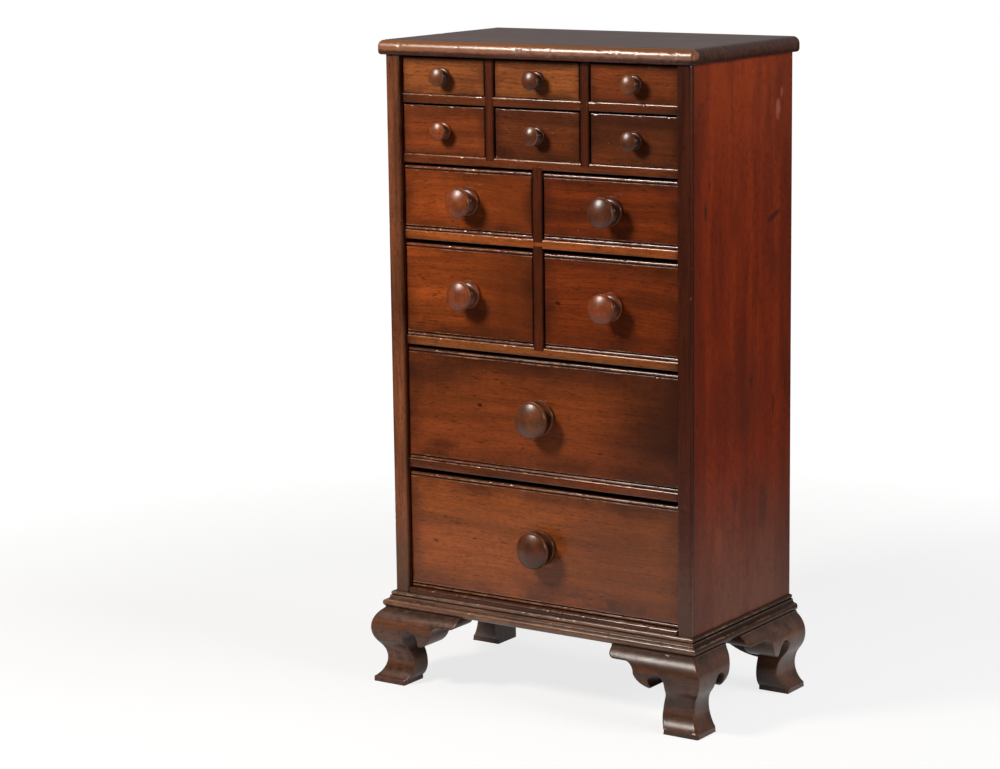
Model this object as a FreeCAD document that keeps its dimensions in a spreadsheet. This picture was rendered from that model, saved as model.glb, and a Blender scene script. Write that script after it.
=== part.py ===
import FreeCAD, Part
import math
import os
import re
from types import SimpleNamespace

import Sketcher
from FreeCAD import Placement, Rotation, Vector

# Spice cabinet: a tall narrow case of twelve drawers on ogee bracket feet.
# Frame: millimetres, +Z up, the floor at z = 0, the front towards -Y,
# the origin on the floor under the middle of the whole piece.

# Driving dimensions, in millimetres
DIMENSIONS = {
    "case_width": 380,
    "case_depth": 207,
    "front_line": -91.5,
    "side_thick": 17,
    "housing_depth": 5,
    "case_foot": 85,
    "floor_top": 108,
    "floor_thick": 15,
    "lip_round": 3,
    "shelf_thick": 10,
    "row_one": 41,
    "row_two": 54.5,
    "row_three": 73,
    "row_four": 106,
    "row_five": 127.5,
    "row_six": 135.5,
    "gap_one": 2,
    "gap_two": 2,
    "gap_three": 2.8,
    "gap_four": 4.2,
    "gap_five": 3.5,
    "gap_six": 5,
    "upper_divider": 11,
    "lower_divider": 12.5,
    "divider_housing": 3,
    "top_thick": 16.5,
    "top_side_overhang": 7,
    "top_front_overhang": 12,
    "top_back_overhang": 3,
    "nosing_round": 7.5,
    "nosing_under": 4,
    "facing_thick": 6,
    "facing_round": 3,
    "back_thick": 10,
    "back_rabbet": 8,
    "board_gap": 0.4,
    "moulding_reach": 10.5,
    "bracket_back": 17,
    "foot_bulge": 21,
    "foot_neck": 8,
    "foot_pad": 19,
    "foot_head": 9,
    "front_wing": 92,
    "side_wing": 58,
    "rear_wing": 110,
    "rear_leg_shift": 14,
    "rear_bracket_thick": 18,
    "rear_bracket_length": 104,
    "block_size": 11,
    "block_foot": 74,
    "block_length": 48,
    "short_block_length": 17,
    "drawer_recess": 1,
    "drawer_length": 194,
    "drawer_side_gap": 1.1,
    "drawer_foot_gap": 0.6,
    "front_thick": 13,
    "front_lap": 4,
    "drawer_side": 7,
    "side_drop": 1.5,
    "panel_thick": 5,
    "panel_lift": 5,
    "groove_depth": 3,
    "bead_width": 3.3,
    "quirk_width": 1.5,
    "small_knob": 20,
    "small_knob_reach": 17,
    "middle_knob": 32,
    "middle_knob_reach": 26,
    "large_knob": 40,
    "large_knob_reach": 26.5,
    "tenon_length": 9.5,
    "nail_radius": 1.1,
    "nail_length": 24,
    "nail_head": 2.6,
    "nail_head_thick": 0.9,
}

doc = FreeCAD.newDocument("SpiceCabinet")
sheet = doc.addObject("Spreadsheet::Sheet", "Dims")
for line, (alias, number) in enumerate(DIMENSIONS.items(), start=1):
    sheet.set(f"A{line}", alias)
    sheet.set(f"B{line}", str(number))
    sheet.setAlias(f"B{line}", alias)
doc.recompute()
dim = SimpleNamespace(**{alias: float(sheet.get(alias)) for alias in DIMENSIONS})

# Expressions that several sub-parts share
ROWS = ["row_one", "row_two", "row_three", "row_four", "row_five", "row_six"]
GAPS = ["gap_one", "gap_two", "gap_three", "gap_four", "gap_five", "gap_six"]
CLEAR = "(case_width - 2 * side_thick)"
SHELF_DEPTH = "(case_depth - back_thick)"
SHELF_WIDTH = f"({CLEAR} + 2 * housing_depth)"
SHELF_LEFT = f"(-{CLEAR} / 2 - housing_depth)"
TOP_UNDER = "(floor_top + 5 * shelf_thick + " + " + ".join(ROWS) + ")"
BACK_LINE = "(front_line + case_depth)"
FACING_FRONT = "(front_line - facing_thick)"

# How far cutting tools reach past the wood they cut
OVERCUT = 5

cuts = []
normals = {}


def shelf_top(row):
    """The height of the board that carries a row, counted from 0 at the top."""
    return "(floor_top" + "".join(f" + {below} + shelf_thick" for below in ROWS[row + 1:]) + ")"


# Expressions, sketches and features

def bound(text):
    """The expression in which each dimension's name points at its cell."""
    def cell(word):
        return "Dims." + word.group(0) if word.group(0) in DIMENSIONS else word.group(0)
    return re.sub(r"[a-z_]+", cell, text)


def value(text):
    """The number that an expression of dimension names comes to."""
    return float(sheet.evalExpression(bound(text)))


def place(thing, x="0", y="0", z="0"):
    """Binds the place of a thing to the sheet."""
    for axis, text in zip("xyz", (x, y, z)):
        thing.setExpression(f"Placement.Base.{axis}", bound(text))


def new_body(label):
    """An empty body with its own label."""
    body = doc.addObject("PartDesign::Body", label)
    body.Label = label
    return body


def sketch_on(body, role, offset="0"):
    """A sketch on one of the body's own planes, moved along the axis square to that plane."""
    sketch = body.newObject("Sketcher::SketchObject", f"{body.Name}_sketch")
    plane = next(feature for feature in body.Origin.OriginFeatures if feature.Role == role)
    normals[sketch.Name] = -1 if role == "XZ_Plane" else 1
    sketch.AttachmentSupport = [(plane, "")]
    sketch.MapMode = "FlatFace"
    sketch.setExpression("AttachmentOffset.Base.z", bound(f"{normals[sketch.Name]} * ({offset})"))
    return sketch


def rectangle(sketch, left, low, width, height):
    """A rectangle whose place and size are constraints bound to the sheet."""
    x, y, w, h = (value(text) for text in (left, low, width, height))
    corners = [Vector(x, y), Vector(x + w, y), Vector(x + w, y + h), Vector(x, y + h)]
    sides = []
    for start, end in zip(corners, corners[1:] + corners[:1]):
        sides.append(sketch.addGeometry(Part.LineSegment(start, end), False))
    for side, after in zip(sides, sides[1:] + sides[:1]):
        sketch.addConstraint(Sketcher.Constraint("Coincident", side, 2, after, 1))
    for side, direction in zip(sides, ("Horizontal", "Vertical") * 2):
        sketch.addConstraint(Sketcher.Constraint(direction, side))
    measures = (
        (left, ("DistanceX", -1, 1, sides[0], 1, x)),
        (low, ("DistanceY", -1, 1, sides[0], 1, y)),
        (width, ("DistanceX", sides[0], 1, sides[0], 2, w)),
        (height, ("DistanceY", sides[1], 1, sides[1], 2, h)),
    )
    for text, measure in measures:
        index = sketch.addConstraint(Sketcher.Constraint(*measure))
        sketch.setExpression(f"Constraints[{index}]", bound(text))


def outline(sketch, start, *steps):
    """A closed outline: a step of one point is a line, a step of two an arc through the first."""
    here = start
    for step in steps + ((start,),):
        if len(step) == 1:
            edge = Part.LineSegment(Vector(*here), Vector(*step[0]))
        else:
            edge = Part.Arc(Vector(*here), Vector(*step[0]), Vector(*step[1]))
        sketch.addGeometry(edge, False)
        here = step[-1]


def pad(body, sketch, length, toward=1):
    """Adds a sketch's area as wood, along or against the axis square to its plane."""
    feature = body.newObject("PartDesign::Pad", f"{body.Name}_pad")
    feature.Profile = sketch
    feature.setExpression("Length", bound(length))
    feature.Reversed = toward * normals[sketch.Name] < 0
    return feature


def pocket(body, sketch, depth, toward):
    """Cuts a sketch's area away, along or against the axis square to its plane."""
    feature = body.newObject("PartDesign::Pocket", f"{body.Name}_cut")
    feature.Profile = sketch
    feature.setExpression("Length", bound(depth))
    feature.Reversed = toward * normals[sketch.Name] > 0
    cuts.append(feature)
    return feature


def fillet(body, radius, chosen):
    """Rounds the edges of the body so far that a test picks."""
    doc.recompute()
    base = body.Tip
    names = [f"Edge{number}" for number, edge in enumerate(base.Shape.Edges, start=1) if chosen(edge)]
    feature = body.newObject("PartDesign::Fillet", f"{body.Name}_round")
    feature.Base = (base, names)
    feature.setExpression("Radius", bound(radius))
    return feature


def box(label, length, width, height, x, y, z):
    """A plain board, its sizes and its place bound to the sheet."""
    board = doc.addObject("Part::Box", label)
    for name, text in (("Length", length), ("Width", width), ("Height", height)):
        board.setExpression(name, bound(text))
    place(board, x, y, z)
    return board


def together(label, members):
    """One node of several separate solids."""
    group = doc.addObject("Part::Compound", label)
    group.Label = label
    group.Links = members
    return group


def mirrored(label, source):
    """The right-hand twin of a left-hand sub-part."""
    twin = doc.addObject("Part::Mirroring", label)
    twin.Label = label
    twin.Source = source
    twin.Normal = Vector(1, 0, 0)
    return twin


def vertical_arc(start, end):
    """The middle point of the arc that leaves start upright and runs through end."""
    across, up = end[0] - start[0], end[1] - start[1]
    radius = (across ** 2 + up ** 2) / (2 * abs(across))
    half = math.atan2(abs(across), abs(up))
    x = start[0] + math.copysign(radius * (1 - math.cos(half)), across)
    z = start[1] + math.copysign(radius * math.sin(half), up)
    return (x, z)


def s_curve(start, end):
    """Two arcs that leave both ends upright and meet halfway."""
    middle = ((start[0] + end[0]) / 2, (start[1] + end[1]) / 2)
    return [(vertical_arc(start, middle), middle), (vertical_arc(end, middle), end)]


def shifted(path, along):
    """An outline of distances and heights, with each distance put through a function."""
    return [tuple((along(distance), height) for distance, height in step) for step in path]


# Case: sides, floor, shelves and dividers

def divider_lefts(count, thick):
    """The left faces of the dividers that part a row into a number of openings."""
    opening = f"(({CLEAR} - {count - 1} * {thick}) / {count})"
    return [f"(-{CLEAR} / 2 + {index} * {opening} + {index - 1} * {thick})" for index in range(1, count)]


UPPER_LEFTS = divider_lefts(3, "upper_divider")
LOWER_LEFTS = divider_lefts(2, "lower_divider")


def side_board():
    """The left side, housed for the shelves and the floor and rabbeted for the back."""
    body = new_body("left_side")
    blank = sketch_on(body, "YZ_Plane", "-case_width / 2")
    rectangle(blank, "front_line", "case_foot", "case_depth", f"{TOP_UNDER} + housing_depth - case_foot")
    pad(body, blank, "side_thick")
    housings = sketch_on(body, "YZ_Plane", "-case_width / 2 + side_thick")
    for row in range(5):
        rectangle(housings, "front_line", f"{shelf_top(row)} - shelf_thick", SHELF_DEPTH, "shelf_thick")
    rectangle(housings, "front_line", "floor_top - floor_thick", SHELF_DEPTH, "floor_thick")
    pocket(body, housings, "housing_depth", -1)
    rabbet = sketch_on(body, "YZ_Plane", "-case_width / 2 + side_thick")
    rectangle(rabbet, f"{BACK_LINE} - back_thick", "case_foot", "back_thick",
              f"{TOP_UNDER} + housing_depth - case_foot")
    pocket(body, rabbet, "back_rabbet", -1)
    return body


def floor_board():
    """The floor of the case, with a rounded lip that shows between the facings."""
    body = new_body("floor_board")
    main = sketch_on(body, "XY_Plane", "floor_top - floor_thick")
    rectangle(main, SHELF_LEFT, "front_line", SHELF_WIDTH, SHELF_DEPTH)
    pad(body, main, "floor_thick")
    lip = sketch_on(body, "XY_Plane", "floor_top - floor_thick")
    rectangle(lip, f"-{CLEAR} / 2", FACING_FRONT, CLEAR, "facing_thick")
    pad(body, lip, "floor_thick")

    def front_arris(edge):
        box_of = edge.BoundBox
        return box_of.ZMin > dim.floor_top - 0.1 and box_of.YMax < value(FACING_FRONT) + 0.1
    fillet(body, "lip_round", front_arris)
    return body


def shelf(row):
    """The full-depth board under a row, cut for the dividers above and below it."""
    body = new_body(f"shelf_{row + 1}")
    under = f"{shelf_top(row)} - shelf_thick"
    blank = sketch_on(body, "XY_Plane", under)
    rectangle(blank, SHELF_LEFT, "front_line", SHELF_WIDTH, SHELF_DEPTH)
    pad(body, blank, "shelf_thick")
    above = {1: (UPPER_LEFTS, "upper_divider"), 2: (LOWER_LEFTS, "lower_divider"),
             3: (LOWER_LEFTS, "lower_divider")}
    below = {1: (LOWER_LEFTS, "lower_divider"), 2: (LOWER_LEFTS, "lower_divider")}
    if row == 0:
        laps = sketch_on(body, "XY_Plane", under)
        for left in UPPER_LEFTS:
            rectangle(laps, left, "front_line", "upper_divider", f"{SHELF_DEPTH} / 2")
        pocket(body, laps, "shelf_thick", 1)
    if row in above:
        lefts, thick = above[row]
        housings = sketch_on(body, "XY_Plane", shelf_top(row))
        for left in lefts:
            rectangle(housings, left, "front_line", thick, SHELF_DEPTH)
        pocket(body, housings, "divider_housing", -1)
    if row in below:
        lefts, thick = below[row]
        housings = sketch_on(body, "XY_Plane", under)
        for left in lefts:
            rectangle(housings, left, "front_line", thick, SHELF_DEPTH)
        pocket(body, housings, "divider_housing", 1)
    return body


def divider(label, left, thick, low, high):
    """An upright board between two rows of drawers, housed at both ends."""
    body = new_body(label)
    blank = sketch_on(body, "YZ_Plane", left)
    rectangle(blank, "front_line", f"{low} - divider_housing", SHELF_DEPTH,
              f"{high} - {low} + 2 * divider_housing")
    pad(body, blank, thick)
    return body


def upper_dividers():
    """The two dividers of the top rows, lapped over the first shelf at their back halves."""
    pair = []
    for name, left in zip(("left", "right"), UPPER_LEFTS):
        body = divider(f"upper_divider_{name}", left, "upper_divider", shelf_top(1), TOP_UNDER)
        lap = sketch_on(body, "YZ_Plane", left)
        rectangle(lap, f"front_line + {SHELF_DEPTH} / 2", f"{shelf_top(0)} - shelf_thick",
                  f"{SHELF_DEPTH} / 2", "shelf_thick")
        pocket(body, lap, "upper_divider", 1)
        pair.append(body)
    return together("upper_dividers", pair)


def top_board():
    """The top, with a rounded nosing on three edges and housings on its underside."""
    body = new_body("top_board")
    blank = sketch_on(body, "XY_Plane", TOP_UNDER)
    rectangle(blank, "-case_width / 2 - top_side_overhang", "front_line - top_front_overhang",
              "case_width + 2 * top_side_overhang", "case_depth + top_front_overhang + top_back_overhang")
    pad(body, blank, "top_thick")
    back_edge = value(f"{BACK_LINE} + top_back_overhang")

    def nosed(level):
        def chosen(edge):
            box_of = edge.BoundBox
            return abs(box_of.ZMin - level) + abs(box_of.ZMax - level) < 0.1 and box_of.YMin < back_edge - 0.1
        return chosen
    fillet(body, "nosing_round", nosed(value(TOP_UNDER) + dim.top_thick))
    fillet(body, "nosing_under", nosed(value(TOP_UNDER)))
    sides = sketch_on(body, "XY_Plane", TOP_UNDER)
    for left in ("-case_width / 2", "case_width / 2 - side_thick"):
        rectangle(sides, left, "front_line", "side_thick", "case_depth")
    pocket(body, sides, "housing_depth", 1)
    dividers = sketch_on(body, "XY_Plane", TOP_UNDER)
    for left in UPPER_LEFTS:
        rectangle(dividers, left, "front_line", "upper_divider", SHELF_DEPTH)
    pocket(body, dividers, "divider_housing", 1)
    return body


def facing():
    """The round-edged strip glued over the front edge of the left side."""
    body = new_body("left_facing")
    section = sketch_on(body, "XY_Plane", "case_foot")
    left, right = -dim.case_width / 2, -dim.case_width / 2 + dim.side_thick
    back, front = dim.front_line, value(FACING_FRONT)
    r = dim.facing_round
    near = r * (1 - math.sqrt(0.5))
    outline(section, (left, back), ((left, front + r),),
            ((left + near, front + near), (left + r, front)), ((right - r, front),),
            ((right - near, front + near), (right, front + r)), ((right, back),))
    pad(body, section, f"{TOP_UNDER} - case_foot")
    return body


def back_boards():
    """Three upright boards side by side in the rabbets."""
    count = 3
    span = f"({CLEAR} + 2 * back_rabbet)"
    wide = f"(({span} - {count - 1} * board_gap) / {count})"
    boards = []
    for index in range(count):
        left = f"-{span} / 2 + {index} * ({wide} + board_gap)"
        boards.append(box(f"back_board_{index + 1}", wide, "back_thick",
                          f"{TOP_UNDER} - floor_top + floor_thick",
                          left, f"{BACK_LINE} - back_thick", "floor_top - floor_thick"))
    return together("back_boards", boards)


def nail_piece(radius, length, across, back, height):
    """A round piece of a nail that runs forwards from a plane at the back."""
    piece = doc.addObject("Part::Cylinder", "nail_piece")
    piece.setExpression("Radius", bound(radius))
    piece.setExpression("Height", bound(length))
    piece.Placement = Placement(Vector(), Rotation(Vector(1, 0, 0), 90))
    place(piece, across, back, height)
    return piece


def back_nails():
    """Two nails through each back board into every other shelf and the floor."""
    span = f"({CLEAR} + 2 * back_rabbet)"
    heights = [f"({shelf_top(row)} - shelf_thick / 2)" for row in (0, 2, 4)]
    heights.append("(floor_top - floor_thick / 2)")
    nails = []
    for height in heights:
        for column in range(6):
            across = f"{span} * ({column} + 0.5) / 6 - {span} / 2"
            shank = nail_piece("nail_radius", "nail_length", across, BACK_LINE, height)
            head = nail_piece("nail_head", "nail_head_thick", across,
                              f"{BACK_LINE} + nail_head_thick", height)
            nail = doc.addObject("Part::MultiFuse", "nail")
            nail.Shapes = [shank, head]
            nails.append(nail)
    return together("back_nails", nails)


def base_rails():
    """The two strips under the floor that carry the brackets at the front and the back."""
    height = "floor_top - floor_thick - case_foot"
    front = box("front_base_rail", CLEAR, "bracket_back - facing_thick", height,
                f"-{CLEAR} / 2", "front_line", "case_foot")
    rear = box("rear_base_rail", CLEAR, "rear_bracket_thick", height,
               f"-{CLEAR} / 2", f"{BACK_LINE} - rear_bracket_thick", "case_foot")
    return [front, rear]


# Base moulding: a bead, a quirk, a hollow between fillets and a round nose

def moulding_path():
    """Reach and height of the moulding's section, from its top back corner downwards."""
    foot = dim.case_foot
    reach = dim.moulding_reach
    return [
        ((0, foot + 17.3),),
        ((2, foot + 17.3),),
        ((3.6, foot + 15), (2.6, foot + 12.8)),
        ((4.6, foot + 12.4),),
        ((4.6, foot + 11.4),),
        ((5.6, foot + 9), (8.2, foot + 8),),
        ((9.3, foot + 7.6),),
        ((reach, foot + 4.3), (7.5, foot)),
        ((0, foot),),
    ]


def front_moulding():
    """The front length, mitred at both ends."""
    body = new_body("front_moulding")
    plane = value(FACING_FRONT)
    half = dim.case_width / 2
    section = sketch_on(body, "YZ_Plane", "-case_width / 2 - moulding_reach")
    path = shifted(moulding_path(), lambda reach: plane - reach)
    outline(section, path[0][0], *path[1:])
    pad(body, section, "case_width + 2 * moulding_reach")
    mitres = sketch_on(body, "XY_Plane", f"case_foot - {OVERCUT}")
    long = dim.moulding_reach + OVERCUT
    for hand in (-1, 1):
        outline(mitres, (hand * half, plane), ((hand * (half + long), plane - long),),
                ((hand * (half + long), plane),))
    pocket(body, mitres, "floor_top", 1)
    return body


def side_moulding():
    """The left length, mitred at the front and flush with the back."""
    body = new_body("left_moulding")
    plane = -dim.case_width / 2
    corner = value(FACING_FRONT)
    section = sketch_on(body, "XZ_Plane", BACK_LINE)
    path = shifted(moulding_path(), lambda reach: plane - reach)
    outline(section, path[0][0], *path[1:])
    pad(body, section, "case_depth + facing_thick + moulding_reach", -1)
    mitre = sketch_on(body, "XY_Plane", f"case_foot - {OVERCUT}")
    long = dim.moulding_reach + OVERCUT
    outline(mitre, (plane, corner), ((plane - long, corner - long),), ((plane, corner - long),))
    pocket(body, mitre, "floor_top", 1)
    return body


# Feet: ogee brackets with a scrolled lower edge

PAD_HEIGHT = 5.4
WING_UNDER = 72.3


def ogee_path():
    """Reach and height of a bracket's section, from its top back corner round the face."""
    neck = (dim.foot_neck, 26)
    bulge = (dim.foot_bulge, 62)
    brow = (dim.foot_head, dim.case_foot - 1.5)
    pad_edge = (dim.foot_pad - 1.2, PAD_HEIGHT + 0.4)
    return [
        ((-dim.bracket_back, dim.case_foot),),
        ((dim.foot_head, dim.case_foot),),
        (brow,),
        (vertical_arc(bulge, brow), bulge),
        *s_curve(bulge, neck),
        (vertical_arc(neck, pad_edge), pad_edge),
        ((dim.foot_pad, PAD_HEIGHT),),
        ((dim.foot_pad, 0),),
        ((-dim.bracket_back, 0),),
    ]


def leg_path(leg, spread=1.0, radius=9.5):
    """Distance and height of the scroll from the floor up the leg and round the drilled hole."""
    swell = (leg + 7 * spread, 20)
    hole = (leg + 9 * spread, 53.5)
    tip = (leg + 19 * spread, 45.5)
    ankle = (leg + 1, PAD_HEIGHT)
    hole_start = (hole[0] - radius, hole[1])
    hole_end = (hole[0] + radius * math.cos(math.radians(40)), hole[1] - radius * math.sin(math.radians(40)))
    return [
        ((leg, -OVERCUT),),
        ((leg, PAD_HEIGHT),),
        (ankle,),
        (vertical_arc(swell, ankle), swell),
        *s_curve(swell, hole_start),
        ((hole[0], hole[1] + radius), hole_end),
        (tip,),
    ]


def long_wing(leg, wing):
    """The rest of the scroll from the pendant's tip: a lobe, a hollow and the wing."""
    corner = 8
    inset = corner * (1 - math.sqrt(0.5))
    above = dim.case_foot + OVERCUT
    return [
        ((leg + 29, 50.3), (leg + 36.5, 60.5)),
        ((leg + 39.6, 68.8), (leg + 48, WING_UNDER)),
        ((wing - corner, WING_UNDER),),
        ((wing - inset, WING_UNDER + inset), (wing, WING_UNDER + corner)),
        ((wing, above),),
        ((wing + OVERCUT, above),),
        ((wing + OVERCUT, -OVERCUT),),
    ]


def short_wing(leg, wing, spread):
    """The rest of the scroll where the bracket is short: a lobe that sweeps up to the moulding."""
    above = dim.case_foot + OVERCUT
    return [
        ((leg + 26.5 * spread, 52), (leg + 31 * spread, 62)),
        ((leg + 36 * spread, 73.5), (wing, dim.case_foot)),
        ((wing, above),),
        ((wing + OVERCUT, above),),
        ((wing + OVERCUT, -OVERCUT),),
    ]


LEG = 23
SIDE_LEG = 18.5
SIDE_SPREAD = 0.85


def front_bracket():
    """The bracket under the front moulding of the left foot."""
    body = new_body("front_left_front_bracket")
    face, plane = -dim.case_width / 2, value(FACING_FRONT)
    section = sketch_on(body, "YZ_Plane", "-case_width / 2 - foot_bulge")
    path = shifted(ogee_path(), lambda reach: plane - reach)
    outline(section, path[0][0], *path[1:])
    pad(body, section, "front_wing + foot_bulge + 1")
    scroll = sketch_on(body, "XZ_Plane", f"{FACING_FRONT} - foot_bulge - {OVERCUT}")
    path = shifted(leg_path(LEG) + long_wing(LEG, dim.front_wing), lambda far: face + far)
    outline(scroll, path[0][0], *path[1:])
    pocket(body, scroll, f"foot_bulge + bracket_back + {2 * OVERCUT}", 1)
    mitre(body, face, plane, keep_front=True)
    return body


def side_bracket():
    """The bracket under the side moulding of the front left foot."""
    body = new_body("front_left_side_bracket")
    face, plane = -dim.case_width / 2, value(FACING_FRONT)
    section = sketch_on(body, "XZ_Plane", f"{FACING_FRONT} - foot_bulge")
    path = shifted(ogee_path(), lambda reach: face - reach)
    outline(section, path[0][0], *path[1:])
    pad(body, section, "side_wing + foot_bulge + 1")
    scroll = sketch_on(body, "YZ_Plane", f"-case_width / 2 - foot_bulge - {OVERCUT}")
    path = shifted(leg_path(SIDE_LEG, SIDE_SPREAD, 8.5) + short_wing(SIDE_LEG, dim.side_wing, SIDE_SPREAD),
                   lambda far: plane + far)
    outline(scroll, path[0][0], *path[1:])
    pocket(body, scroll, f"foot_bulge + bracket_back + {2 * OVERCUT}", 1)
    mitre(body, face, plane, keep_front=False)
    return body


def mitre(body, face, plane, keep_front):
    """Cuts a bracket along the plane that halves the corner of the case."""
    out = dim.foot_bulge + OVERCUT
    inward = dim.bracket_back + OVERCUT
    outer, inner = (face - out, plane - out), (face + inward, plane + inward)
    waste = (outer[0], inner[1]) if keep_front else (inner[0], outer[1])
    cut = sketch_on(body, "XY_Plane", f"-{OVERCUT}")
    outline(cut, outer, (inner,), (waste,))
    pocket(body, cut, f"case_foot + {2 * OVERCUT}", 1)


def rear_side_bracket():
    """The bracket under the side moulding of the rear left foot, flush with the back."""
    body = new_body("rear_left_side_bracket")
    face, back = -dim.case_width / 2, value(BACK_LINE)
    section = sketch_on(body, "XZ_Plane", f"{BACK_LINE} - rear_leg_shift - rear_wing - 1")
    path = shifted(ogee_path(), lambda reach: face - reach)
    outline(section, path[0][0], *path[1:])
    pad(body, section, "rear_leg_shift + rear_wing + 1")
    scroll = sketch_on(body, "YZ_Plane", f"-case_width / 2 - foot_bulge - {OVERCUT}")
    path = shifted(leg_path(LEG) + long_wing(LEG, dim.rear_wing),
                   lambda far: back - dim.rear_leg_shift - far)
    outline(scroll, path[0][0], *path[1:])
    pocket(body, scroll, f"foot_bulge + bracket_back + {2 * OVERCUT}", 1)
    return body


def rear_bracket():
    """The flat bracket across the back of the rear left foot: it springs from the leg and rises."""
    body = new_body("rear_left_back_bracket")
    inner = dim.bracket_back
    end = dim.rear_bracket_length
    spring = 30
    path = [
        ((inner, spring),),
        ((inner + 6, spring),),
        ((inner + 44, 38), (end - 8, 66)),
        ((end, dim.case_foot),),
        ((inner, dim.case_foot),),
    ]
    path = shifted(path, lambda far: -dim.case_width / 2 + far)
    board = sketch_on(body, "XZ_Plane", BACK_LINE)
    outline(board, path[0][0], *path[1:])
    pad(body, board, "rear_bracket_thick", -1)
    return body


def foot_blocks():
    """Glue blocks behind the wings of the brackets, under the floor of the case."""
    height = "floor_top - floor_thick - block_foot"
    inner = "-case_width / 2 + bracket_back"
    front = f"{FACING_FRONT} + bracket_back"
    rear = f"{BACK_LINE} - rear_bracket_thick - block_size"
    blocks = [
        box("front_block", "block_length", "block_size", height,
            f"{inner} + block_size", front, "block_foot"),
        box("front_side_block", "block_size", "short_block_length", height,
            inner, f"{front} + block_size", "block_foot"),
        box("rear_side_block", "block_size", "block_length", height,
            inner, f"{rear} - block_length", "block_foot"),
        box("rear_block", "block_length", "block_size", height,
            f"{inner} + block_size", rear, "block_foot"),
    ]
    left = together("left_foot_blocks", blocks)
    return [left, mirrored("right_foot_blocks", left)]


# Drawers: dovetailed boxes with turned knobs, each modelled from the foot of its own front

def tails(root, tip, low, high, count):
    """Dovetails between two heights: for each, the four corners from the bottom up."""
    pitch = (high - low) / count
    half_root = 0.29 * pitch
    half_tip = half_root + abs(tip - root) / 6
    shapes = []
    for index in range(count):
        middle = low + (index + 0.5) * pitch
        shapes.append([(root, middle - half_root), (tip, middle - half_tip),
                       (tip, middle + half_tip), (root, middle + half_root)])
    return shapes


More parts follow.
